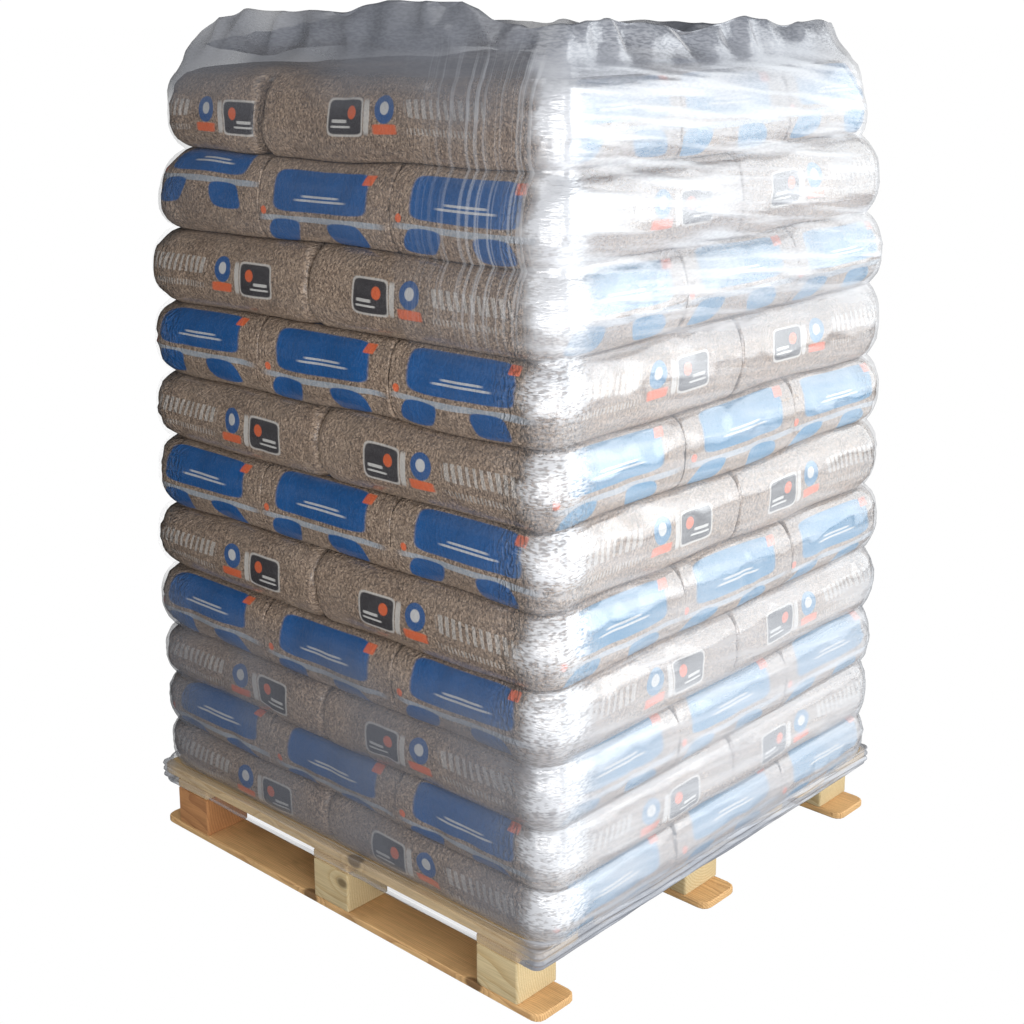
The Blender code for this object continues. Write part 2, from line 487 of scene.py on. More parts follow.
def patch_group() -> bpy.types.NodeTree:
    """Group that masks one rounded patch on a flat map.

    With p the place from the centre in half sizes, the patch is where |p| is below 1
    for a round one and where |p^4| is below 1 for a square one; Square mixes the two.

    Returns:
        The group, with a Mask from 0 to 1.
    """
    graph, given, made = new_group(
        "rounded_patch",
        {
            "Point": "Vector",
            "Centre": "Vector",
            "Half": "Vector",
            "Square": "Float",
            "Blur": "Float",
        },
        {"Mask": "Float"},
    )
    from_centre = graph.vector("SUBTRACT", given["Point"], given["Centre"])
    place = graph.vector("DIVIDE", from_centre, given["Half"])
    second = graph.vector("MULTIPLY", place, place)
    square = graph.vector("LENGTH", graph.vector("MULTIPLY", second, second))
    plain = graph.vector("LENGTH", place)
    more = graph.math("SUBTRACT", square, plain)
    reach = graph.math("MULTIPLY_ADD", more, given["Square"], plain)
    low = graph.math("SUBTRACT", 1.0, given["Blur"])
    high = graph.math("ADD", 1.0, given["Blur"])
    graph.feed(made["Mask"], graph.step(reach, low, high, 1.0, 0.0))
    return graph.tree


def pellet_group() -> bpy.types.NodeTree:
    """Group that fills a flat map in metres with pressed wood pellets lying every way.

    Wide cells each turn the map by their own random angle, and stretched cells on the
    turned map are the pellets.

    Returns:
        The group, with the Tone of a pellet and the Gap between pellets.
    """
    graph, given, made = new_group(
        "pellet_fill",
        {"Vector": "Vector", "Length": "Float", "Width": "Float"},
        {"Tone": "Float", "Gap": "Float"},
    )
    patches = graph.cells(given["Vector"], 85.0)
    hue = graph.node("ShaderNodeSeparateColor")
    graph.feed(hue.inputs[0], patches.outputs["Color"])
    turn = graph.node("ShaderNodeVectorRotate", rotation_type="Z_AXIS")
    angle = graph.math("MULTIPLY", hue.outputs[0], 2 * math.pi)
    graph.fill(turn, Vector=given["Vector"], Angle=angle)
    turned = graph.split(turn.outputs[0])
    shift = graph.math("MULTIPLY", hue.outputs[1], 7.0)
    stretched = graph.join(
        graph.math("ADD", graph.math("DIVIDE", turned[0], given["Length"]), shift),
        graph.math("DIVIDE", turned[1], given["Width"]),
    )
    pellet = graph.cells(stretched, 1.0, random=0.8)
    tone = graph.node("ShaderNodeSeparateColor")
    graph.feed(tone.inputs[0], pellet.outputs["Color"])
    graph.feed(made["Tone"], tone.outputs[0])
    graph.feed(made["Gap"], graph.step(pellet.outputs["Distance"], 0.46, 0.74))
    return graph.tree


def line_group() -> bpy.types.NodeTree:
    """Group for long streaks of gathered film, all in one direction.

    A streak is where a noise on the stretched map rises from Low to High.

    Returns:
        The group, with the Ridge of a streak from 0 to 1.
    """
    inputs = {"Vector": "Vector", "Stretch": "Vector", "Low": "Float", "High": "Float"}
    graph, given, made = new_group("film_lines", inputs, {"Ridge": "Float"})
    stretched = graph.vector("MULTIPLY", given["Vector"], given["Stretch"])
    source = graph.noise(stretched, 1.0, 1.0, 0.5)
    graph.feed(made["Ridge"], graph.step(source, given["Low"], given["High"]))
    return graph.tree


def crinkle_group() -> bpy.types.NodeTree:
    """Group for the fine folds of thin plastic film.

    Ridges are 1 - |4 n - 2| of a noise n on the stretched map, raised to a power.

    Returns:
        The group, with the Ridge of a fold from 0 to 1.
    """
    inputs = {"Vector": "Vector", "Stretch": "Vector", "Sharpness": "Float"}
    graph, given, made = new_group("film_crinkle", inputs, {"Ridge": "Float"})
    stretched = graph.vector("MULTIPLY", given["Vector"], given["Stretch"])
    source = graph.noise(stretched, 1.0, 1.0, 0.5, flat=True)
    folded = graph.math("ABSOLUTE", graph.math("MULTIPLY_ADD", source, 4.0, -2.0))
    ridge = graph.limit(graph.math("SUBTRACT", 1.0, folded))
    graph.feed(made["Ridge"], graph.math("POWER", ridge, given["Sharpness"]))
    return graph.tree


def grain_group() -> bpy.types.NodeTree:
    """Group for sawn softwood whose grain runs along X of its vector.

    Year rings are the saw-tooth of the distance from a wandering pith line, fibres are
    noise stretched along the grain, and knots are the cores of wide cells.

    Returns:
        The group, with the masks Ring, Fibre, Knot and Stain.
    """
    graph, given, made = new_group(
        "pine_grain",
        {"Vector": "Vector", "Ring Width": "Float", "Pith": "Vector"},
        {"Ring": "Float", "Fibre": "Float", "Knot": "Float", "Stain": "Float"},
    )
    point = graph.vector("SUBTRACT", given["Vector"], given["Pith"])
    wander = graph.noise(graph.vector("MULTIPLY", point, (3.0, 7.0, 7.0)), 1.0, 2.0, 0.5)
    knots = graph.cells(graph.vector("MULTIPLY", given["Vector"], (6.0, 9.0, 9.0)), 1.0, flat=False)
    knot = graph.step(knots.outputs["Distance"], 0.10, 0.16, 1.0, 0.0)
    swirl = graph.step(knots.outputs["Distance"], 0.08, 0.34, 1.0, 0.0)
    parts = graph.split(point)
    radius = graph.vector("LENGTH", graph.join(0.0, parts[1], parts[2]))
    bent = graph.math("MULTIPLY_ADD", wander, 0.030, radius)
    bent = graph.math("MULTIPLY_ADD", swirl, 0.010, bent)
    tooth = graph.math("FRACT", graph.math("DIVIDE", bent, given["Ring Width"]))
    graph.feed(made["Ring"], graph.math("POWER", tooth, 2.4))
    fibres = graph.vector("MULTIPLY", given["Vector"], (14.0, 520.0, 520.0))
    graph.feed(made["Fibre"], graph.noise(fibres, 1.0, 3.0, 0.6))
    graph.feed(made["Knot"], knot)
    graph.feed(made["Stain"], graph.noise(given["Vector"], 7.0, 4.0, 0.62))
    return graph.tree


@dataclass(frozen=True)
class SharedGroups:
    """The node groups that the finishes share.

    Attributes:
        patch: masks a rounded patch.
        pellets: fills a map with pellets.
        crinkle: fine folds.
        lines: long streaks.
        grain: sawn softwood.
    """

    patch: bpy.types.NodeTree
    pellets: bpy.types.NodeTree
    crinkle: bpy.types.NodeTree
    lines: bpy.types.NodeTree
    grain: bpy.types.NodeTree

    @classmethod
    def build(cls) -> "SharedGroups":
        """Builds each group once."""
        return cls(patch_group(), pellet_group(), crinkle_group(), line_group(), grain_group())


def new_material(name: str) -> tuple[bpy.types.Material, Graph, bpy.types.Node]:
    """Makes an empty node material.

    Args:
        name: name of the material.

    Returns:
        The material, its graph and its Principled shader.
    """
    material = bpy.data.materials.new(name)
    material.use_nodes = True
    graph = Graph(material.node_tree)
    return material, graph, material.node_tree.nodes["Principled BSDF"]


@dataclass(frozen=True)
class Mark:
    """One patch of ink on a sack: its place and half size in metres, and its form.

    Attributes:
        u: place of its middle round the sack.
        v: place of its middle up the skin.
        half_u: half its width.
        half_v: half its height.
        square: 1 for a square patch, 0 for a round one.
        slant: how far it leans, as U over V.
        blur: softness of its edge.
    """

    u: float
    v: float
    half_u: float
    half_v: float
    square: float = 1.0
    slant: float = 0.0
    blur: float = 0.0015


@dataclass(frozen=True)
class SackFinish:
    """Clear plastic sack full of pellets, with a plain printed design.

    Attributes:
        pellet_light: colour of the lightest pellets.
        pellet_middle: colour of most pellets.
        pellet_dark: colour of the darkest pellets.
        gap_colour: colour between the pellets.
        blue: ink of the panels.
        glare_lit_blue: the same ink painted lighter on the right face, as painted glare of the
            window light.
        pale_blue: ink of the band.
        pale: ink of the lines, borders and bars.
        black: ink of the labels.
        orange: ink of the small patches.
    """

    pellet_light: Colour = (0.385, 0.282, 0.208)
    pellet_middle: Colour = (0.262, 0.186, 0.134)
    pellet_dark: Colour = (0.165, 0.112, 0.082)
    gap_colour: Colour = (0.080, 0.054, 0.042)
    blue: Colour = (0.006, 0.078, 0.250)
    glare_lit_blue: Colour = (0.008, 0.150, 0.300)
    pale_blue: Colour = (0.36, 0.47, 0.58)
    pale: Colour = (0.56, 0.55, 0.53)
    black: Colour = (0.022, 0.020, 0.026)
    orange: Colour = (0.62, 0.115, 0.035)

    def marks(self) -> tuple[tuple[Colour, Panel, float, tuple[Mark, ...]], ...]:
        """The printed patches from the lowest ink up.

        Returns:
            One row for each ink, with its colour, panel, cover and patches.
        """
        panel = Mark(-0.004, 0.030, 0.132, 0.041)
        low = (
            Mark(-0.112, -0.052, 0.046, 0.026, 0.3, 0.5),
            Mark(0.070, -0.054, 0.048, 0.026, 0.3, -0.4),
        )
        lines = (Mark(0.0, 0.012, 0.070, 0.0022), Mark(0.0, 0.020, 0.050, 0.0022))
        dots = (Mark(0.128, 0.058, 0.014, 0.010, 1.0, 0.4), Mark(-0.165, -0.012, 0.008, 0.008, 0.0))
        borders = (Mark(0.118, -0.004, 0.049, 0.035), Mark(0.060, -0.004, 0.007, 0.031))
        accents = (
            Mark(0.100, 0.004, 0.012, 0.012, 0.0),
            Mark(0.012, -0.026, 0.030, 0.009, 1.0, 0.2),
        )
        details = (
            Mark(0.014, 0.012, 0.012, 0.012, 0.0),
            Mark(0.134, -0.012, 0.020, 0.003),
            Mark(0.130, -0.022, 0.026, 0.002),
        )
        sides = (Mark(0.215, 0.02, 0.036, 0.088), Mark(-0.215, 0.02, 0.036, 0.088))
        return (
            (self.pale_blue, Panel.END, 0.5, (Mark(0.0, -0.026, 0.170, 0.006, 1.0, 0.0, 0.003),)),
            (self.blue, Panel.END, 0.99, (panel, *low)),
            (self.pale, Panel.END, 0.75, lines),
            (self.orange, Panel.END, 0.9, dots),
            (self.pale, Panel.LONG, 0.7, borders),
            (self.black, Panel.LONG, 0.94, (Mark(0.118, -0.004, 0.045, 0.031),)),
            (self.orange, Panel.LONG, 0.92, accents),
            (self.blue, Panel.LONG, 0.9, (Mark(0.014, 0.010, 0.026, 0.026, 0.0),)),
            (self.pale, Panel.LONG, 0.85, details),
            (self.blue, Panel.FLAT, 0.9, sides),
        )

    def stamp(
        self,
        graph: Graph,
        shared: SharedGroups,
        maps: dict[float, Socket],
        mark: Mark,
        panel: Panel,
    ) -> Socket:
        """Adds the mask of one mark.

        Args:
            graph: the material's graph.
            shared: the shared node groups.
            maps: the design's map by slant, to which a map of a new slant is added.
            mark: the patch of ink.
            panel: the part of the sack that it is on.

        Returns:
            The mask.
        """
        if mark.slant not in maps:
            parts = graph.split(maps[0.0])
            moved = graph.math("MULTIPLY_ADD", parts[1], -mark.slant, parts[0])
            maps[mark.slant] = graph.join(moved, parts[1])
        made = graph.group(
            shared.patch,
            Point=maps[mark.slant],
            Centre=(mark.u + panel.value - mark.slant * mark.v, mark.v, 0.0),
            Half=(mark.half_u, mark.half_v, 1.0),
            Square=mark.square,
            Blur=min((1 + 3 * mark.square) * mark.blur / min(mark.half_u, mark.half_v), 0.6),
        )
        return made.outputs[0]

    def build(self, shared: SharedGroups) -> bpy.types.Material:
        """Makes the sack material.

        Args:
            shared: the shared node groups.

        Returns:
            The material for all sacks.
        """
        material, graph, shader = new_material("sack_film_finish")
        flat_map = graph.uv("skin")
        fill = graph.group(shared.pellets, Vector=flat_map, Length=0.0074, Width=0.0037)
        share = graph.step(fill.outputs["Tone"], 0.0, 0.55)
        darker = graph.mix(share, self.pellet_dark, self.pellet_middle)
        tone = graph.mix(graph.step(fill.outputs["Tone"], 0.45, 1.0), darker, self.pellet_light)
        colour = graph.mix(fill.outputs["Gap"], tone, self.gap_colour)
        broad = graph.noise(graph.place(), 9.0, 1.0, 0.6)
        colour = graph.mix(graph.math("MULTIPLY", broad, 0.35), colour, (0.31, 0.26, 0.21))
        maps = {0.0: graph.uv("print")}
        bare = 1.0
        # Painted glare: the blue ink turns to a lighter blue on the right face, where the window
        # light falls.
        blue = graph.mix(graph.value("glare_side"), self.blue, self.glare_lit_blue)
        for ink_colour, panel, cover, marks in self.marks():
            ink_colour = blue if ink_colour == self.blue else ink_colour
            total = self.stamp(graph, shared, maps, marks[0], panel)
            for mark in marks[1:]:
                total = graph.math("MAXIMUM", self.stamp(graph, shared, maps, mark, panel), total)
            colour = graph.mix(graph.math("MULTIPLY", total, cover), colour, ink_colour)
            bare = graph.math("SUBTRACT", bare, graph.math("MULTIPLY", total, 0.7))
        colour = self.bars(graph, shared, maps, colour)
        graph.fill(shader, Base_Color=colour)
        crumple = graph.value("crumple")
        folds = graph.group(
            shared.crinkle, Vector=flat_map, Stretch=(70.0, 40.0, 1.0), Sharpness=2.0
        )
        lumps = graph.noise(flat_map, 150.0, 1.0, 0.6, flat=True)
        uncovered = graph.math("MAXIMUM", bare, 0.3)
        rough = graph.math("MULTIPLY", graph.step(crumple, 0.1, 0.9, 0.6, 0.9), uncovered)
        normal = graph.bump(lumps, 0.0075, rough)
        creased = graph.step(crumple, 0.0, 1.0, 0.05, 1.0)
        normal = graph.bump(folds.outputs["Ridge"], 0.0045, creased, normal)
        graph.fill(shader, Normal=normal, Roughness=0.42, Specular_IOR_Level=0.35)
        graph.fill(shader, Coat_Weight=graph.value("gloss"), Coat_IOR=2.0, Coat_Roughness=0.14)
        return material

    def bars(
        self,
        graph: Graph,
        shared: SharedGroups,
        maps: dict[float, Socket],
        colour: Socket,
    ) -> Socket:
        """Two rows of slanted pale bars on the long sides, each bar of its own width.

        Args:
            graph: the material's graph.
            shared: the shared node groups.
            maps: the design's map by slant.
            colour: colour below the bars.

        Returns:
            The colour with the bars over it.
        """
        for centre_v, half_v, pitch, start, stop, cover in (
            (0.012, 0.017, 0.018, -0.240, -0.040, 0.50),
            (-0.028, 0.006, 0.009, -0.215, -0.045, 0.40),
        ):
            row = Mark((start + stop) / 2, centre_v, (stop - start) / 2, half_v, 1.0, 0.25, 0.001)
            inside = self.stamp(graph, shared, maps, row, Panel.LONG)
            count = graph.math("DIVIDE", graph.split(maps[0.25])[0], pitch)
            offset = graph.math("ABSOLUTE", graph.math("SUBTRACT", graph.math("FRACT", count), 0.5))
            random = graph.node("ShaderNodeTexWhiteNoise", noise_dimensions="1D")
            graph.feed(random.inputs["W"], graph.math("FLOOR", count))
            width = graph.math("MULTIPLY_ADD", random.outputs["Value"], 0.22, 0.14)
            bar = graph.step(graph.math("SUBTRACT", offset, width), -0.04, 0.04, 1.0, 0.0)
            mask = graph.math("MULTIPLY", graph.math("MULTIPLY", bar, inside), cover)
            colour = graph.mix(mask, colour, self.pale)
        return colour


@dataclass(frozen=True)
class FilmFinish:
    """Clear stretch film: milky where it lies in many turns, with its folds and lit faces painted
    whiter as painted highlight and painted glare.

    Attributes:
        name: name of the material.
        milk: colour of the film's haze.
        fold_white_and_highlight: colour of its folds and of the painted glare, partly the white of
            gathered film and partly painted highlight.
        across: stretch of the noise for the folds that run round the load.
        upright: the same for the upright folds.
        fine: the same for the crumpled ones.
        heights: bump height of the three kinds of fold.
        fold_alpha: cover of a full fold.
        roughness: roughness of its surface.
        ior: index of refraction, which sets how strongly it mirrors.
    """

    name: str
    milk: Colour = (0.175, 0.186, 0.216)
    fold_white_and_highlight: Colour = (0.72, 0.73, 0.76)
    across: tuple[float, float, float] = (3.5, 3.5, 48.0)
    upright: tuple[float, float, float] = (125.0, 5.0, 0.9)
    fine: tuple[float, float, float] = (85.0, 85.0, 290.0)
    heights: tuple[float, float, float] = (0.004, 0.003, 0.0005)
    fold_alpha: float = 0.80
    roughness: float = 0.20
    ior: float = 1.9

    def build(self, shared: SharedGroups) -> bpy.types.Material:
        """Makes a film material that reads the piece's own haze, painted glare and fold numbers.

        Args:
            shared: the shared node groups.

        Returns:
            The material.
        """
        material, graph, shader = new_material(self.name)
        place = graph.place()
        parts = graph.split(place)
        climb = graph.math("MULTIPLY_ADD", parts[1], 0.10, parts[2])
        slanted = graph.join(parts[0], parts[1], climb)
        cloud = graph.noise(place, 5.0, 0.0)
        clouds = graph.step(cloud, 0.25, 0.75, 0.70, 1.30)
        alpha = graph.math("MULTIPLY", graph.value("haze"), clouds)
        normal = None
        # Painted glare and painted highlights: the pale number and the fold ridges raise the cover
        # and turn the colour towards the highlight white.
        total = graph.value("pale")
        for name, vector, stretch, low, high, height in (
            ("across", slanted, self.across, 0.40, 0.72, self.heights[0]),
            ("upright", place, self.upright, 0.50, 0.70, self.heights[1]),
            ("crumple", place, self.fine, 0.34, 0.66, self.heights[2]),
        ):
            share = graph.value(name)
            folds = graph.group(shared.lines, Vector=vector, Stretch=stretch, Low=low, High=high)
            total = graph.math("MULTIPLY_ADD", folds.outputs["Ridge"], share, total)
            normal = graph.bump(folds.outputs["Ridge"], height, share, normal)
        lit = graph.limit(total)
        white = graph.math("MULTIPLY", lit, self.fold_alpha)
        alpha = graph.math("ADD", alpha, white)
        part = graph.limit(graph.math("DIVIDE", white, graph.math("MAXIMUM", alpha, 0.001)))
        # Painted highlight: the colour goes from the milk to the highlight white by the share of
        # folds and glare in the cover.
        colour = graph.mix(part, self.milk, self.fold_white_and_highlight)
        graph.fill(shader, Alpha=graph.limit(alpha), Base_Color=colour, Normal=normal)
        graph.fill(shader, Roughness=self.roughness, IOR=self.ior)
        return material


@dataclass(frozen=True)
class TimberFinish:
    """Sawn softwood, with year rings, fibres, knots and dirt.

    Attributes:
        name: name of the material.
        light: colour of the wood between the rings.
        dark: colour of the rings.
        grain_axis: axis along which the grain runs.
        ring_width: distance between two rings.
        pith: a point of the line round which the rings lie.
        dirt: cover of the darkest stains.
    """

    name: str
    light: Colour
    dark: Colour
    grain_axis: str = "X"
    ring_width: float = 0.0055
    pith: tuple[float, float, float] = (0.0, 0.011, -0.035)
    dirt: float = 0.25

    def build(self, shared: SharedGroups) -> bpy.types.Material:
        """Makes the timber material.

        Args:
            shared: the shared node groups.

        Returns:
            The material.
        """
        material, graph, shader = new_material(self.name)
        place = graph.place()
        if self.grain_axis == "Y":
            parts = graph.split(place)
            place = graph.join(parts[1], parts[0], parts[2])
        grain = graph.group(shared.grain, Vector=place, Ring_Width=self.ring_width, Pith=self.pith)
        ring = graph.math("MULTIPLY", grain.outputs["Ring"], 0.75)
        colour = graph.mix(ring, self.light, self.dark)
        fibre = graph.step(grain.outputs["Fibre"], 0.3, 0.7, 0.84, 1.08)
        shade = graph.node("ShaderNodeVectorMath", operation="SCALE")
        graph.feed(shade.inputs[0], colour)
        graph.fill(shade, Scale=fibre)
        knot_colour = tuple(0.30 * c for c in self.dark)
        knot = graph.math("MULTIPLY", grain.outputs["Knot"], 0.85)
        colour = graph.mix(knot, shade.outputs[0], knot_colour)
        dirty = graph.math("MULTIPLY", graph.step(grain.outputs["Stain"], 0.45, 0.75), self.dirt)
        colour = graph.mix(dirty, colour, tuple(0.45 * c for c in self.dark))
        rough = graph.step(grain.outputs["Fibre"], 0.2, 0.8, 0.86, 0.68)
        height = graph.math("MULTIPLY_ADD", grain.outputs["Ring"], -0.5, grain.outputs["Fibre"])
        normal = graph.bump(height, 0.0008, 0.6)
        graph.fill(shader, Base_Color=colour, Roughness=rough)
        graph.fill(shader, Specular_IOR_Level=0.3, Normal=normal)
        return material


@dataclass(frozen=True)
class FloorFinish:
    """Plain white studio floor that glows evenly and lights the load from below.

    Attributes:
        glow: brightness that the camera sees.
        bounce: light that the floor gives the load, away from the pallet.
        shaded: the same under the pallet.
        footprint: distances from the middle between which the shade ends.
    """

    glow: float = 1.0
    bounce: float = 0.66
    shaded: float = 0.0
    footprint: tuple[float, float] = (0.48, 0.72)

    def build(self) -> bpy.types.Material:
        """Makes the floor material.

        Returns:
            The floor material.
        """
        material, graph, shader = new_material("studio_floor")
        material.cycles.emission_sampling = "NONE"
        parts = graph.split(graph.vector("ABSOLUTE", graph.place()))
        reach = graph.math("MAXIMUM", parts[0], parts[1])
        path = graph.node("ShaderNodeLightPath")
        bounce = graph.step(reach, *self.footprint, self.shaded, self.bounce)
        bounce = graph.math("MULTIPLY", bounce, path.outputs["Is Diffuse Ray"])
        seen = graph.math("MULTIPLY_ADD", path.outputs["Is Camera Ray"], self.glow, bounce)
        material.node_tree.nodes.remove(shader)
        light = graph.node("ShaderNodeEmission")
        graph.feed(light.inputs["Strength"], seen)
        graph.feed(material.node_tree.nodes["Material Output"].inputs["Surface"], light.outputs[0])
        return material


# The load


@dataclass(frozen=True)
class LoadShape:
    """Levels and half sizes of the stack, the same as those of the CAD solids.

    Attributes:
        heights: level of each seam, from the foot of the lowest layer to the top.
        half_x: half size along X at each seam.
        half_y: half size along Y at each seam.
        bulges: how far each layer stands out past the line between its seams.
        bulge_power: how square the bulges are.
        corner: radius of the upright corners.
        near_corner: radius of the one at +X -Y.
        corner_swell: corner, level, width and size of each swelling of a radius.
        seam_rounding: what each corner's radius gains at the seams.
        lean_slope: rise of the load for each metre of X + Y.
        lean_start: level at which the lean starts.
        lean_full: level from which it is full.
        wave_height: height of the slow waves in the seams.
        corner_place: X and Y of the upright corners.
        corner_zone: distances from a corner between which nearness falls.
    """

    heights: tuple[float, ...] = (
        0.1443, 0.250, 0.369, 0.492, 0.632, 0.777, 0.923, 1.067, 1.223, 1.375, 1.536, 1.690,
    )
    half_x: tuple[float, ...] = (
        0.578, 0.580, 0.577, 0.574, 0.573, 0.570, 0.569, 0.565, 0.563, 0.556, 0.548, 0.530,
    )
    half_y: tuple[float, ...] = (
        0.550, 0.551, 0.552, 0.551, 0.549, 0.546, 0.544, 0.541, 0.538, 0.529, 0.515, 0.495,
    )
    bulges: tuple[float, ...] = (
        0.011, 0.012, 0.015, 0.019, 0.022, 0.018, 0.019, 0.018, 0.022, 0.022, 0.016,
    )
    bulge_power: float = 2.6
    corner: float = 0.080
    near_corner: float = 0.052
    corner_swell: tuple[tuple[int, float, float, float], ...] = (
        (0, 1.70, 0.13, 0.040), (2, 1.53, 0.07, 0.035), (2, 1.44, 0.06, 0.015),
    )
    seam_rounding: tuple[float, float, float, float] = (0.0, 0.0, 0.032, 0.0)
    lean_slope: float = 0.012
    lean_start: float = 0.250
    lean_full: float = 0.492
    wave_height: float = 0.0035
    corner_place: tuple[float, float] = (0.57, 0.545)
    corner_zone: tuple[float, float] = (0.04, 0.15)

    @property
    def layers(self) -> int:
        """How many layers the stack has."""
        return len(self.bulges)

    def half(self, layer: int, share: Array, seams: tuple[float, ...]) -> Array:
        """Half size at a share of a layer's height: the seam line plus its bulge."""
        line = seams[layer] * (1 - share) + seams[layer + 1] * share
        return line + self.bulges[layer] * (1 - np.abs(2 * share - 1) ** self.bulge_power)

    def corner_radius(self, corner: int, layer: int, share: Array) -> Array:
        """Radius of one upright corner of the load at shares of a layer's height.

        It is even, apart from bell shaped swellings exp(-((z - middle) / width)^2) and
        a rounding |2 t - 1|^6 towards the seams between layers.

        Args:
            corner: 0 for +X +Y, then anticlockwise from above.
            layer: the layer, from the bottom up.
            share: shares of the layer's height.

        Returns:
            The radius at each share.
        """
        low, high = self.heights[layer : layer + 2]
        level = low * (1 - share) + high * share
        radius = np.full_like(level, self.near_corner if corner == 3 else self.corner)
        for place, middle, width, more in self.corner_swell:
            if place == corner:
                radius = radius + more * np.exp(-(((level - middle) / width) ** 2))
        inside = (level > self.heights[1] - 0.05) & (level < self.heights[-2] + 0.05)
        return radius + inside * self.seam_rounding[corner] * np.abs(2 * share - 1) ** 6

    def nearness(self, points: Array) -> Array:
        """1 at the upright corners of the load, falling to 0 at 0.15 m from them.

        Args:
            points: array whose last axis is the coordinates.

        Returns:
            One value for each point.
        """
        across = np.maximum(self.corner_place[0] - np.abs(points[..., 0]), 0.0)
        along = np.maximum(self.corner_place[1] - np.abs(points[..., 1]), 0.0)
        return 1 - smooth(np.hypot(across, along), *self.corner_zone)

    def lean(self, x: Array, y: Array, z: Array) -> Array:
        """What the lean of the load adds to the height of a point."""
        share = np.clip((z - self.lean_start) / (self.lean_full - self.lean_start), 0.0, 1.0)
        return self.lean_slope * share * (x + y)

    def share(self, points: Array) -> Array:
        """Share of its own layer's height at which each point lies."""
        level = points[..., 2] - self.lean(points[..., 0], points[..., 1], points[..., 2])
        return np.interp(level, self.heights, np.arange(self.layers + 1)) % 1.0

    def seam_surface(self, seam: int, x: Array, y: Array) -> Array:
        """Height of the surface between two layers: its level, the lean and slow waves.

        Args:
            seam: number of the seam, 0 under the lowest layer.
            x: places along X.
            y: places along Y.

        Returns:
            Height at each place.
        """
        level = self.heights[seam] + self.lean(x, y, np.full_like(x, self.heights[seam]))
        if seam == 0:
            return level
        plan = np.stack([x, y], axis=-1)
        return level + self.wave_height * waves(plan, 40 + seam, 0.28, 0.9, 8)


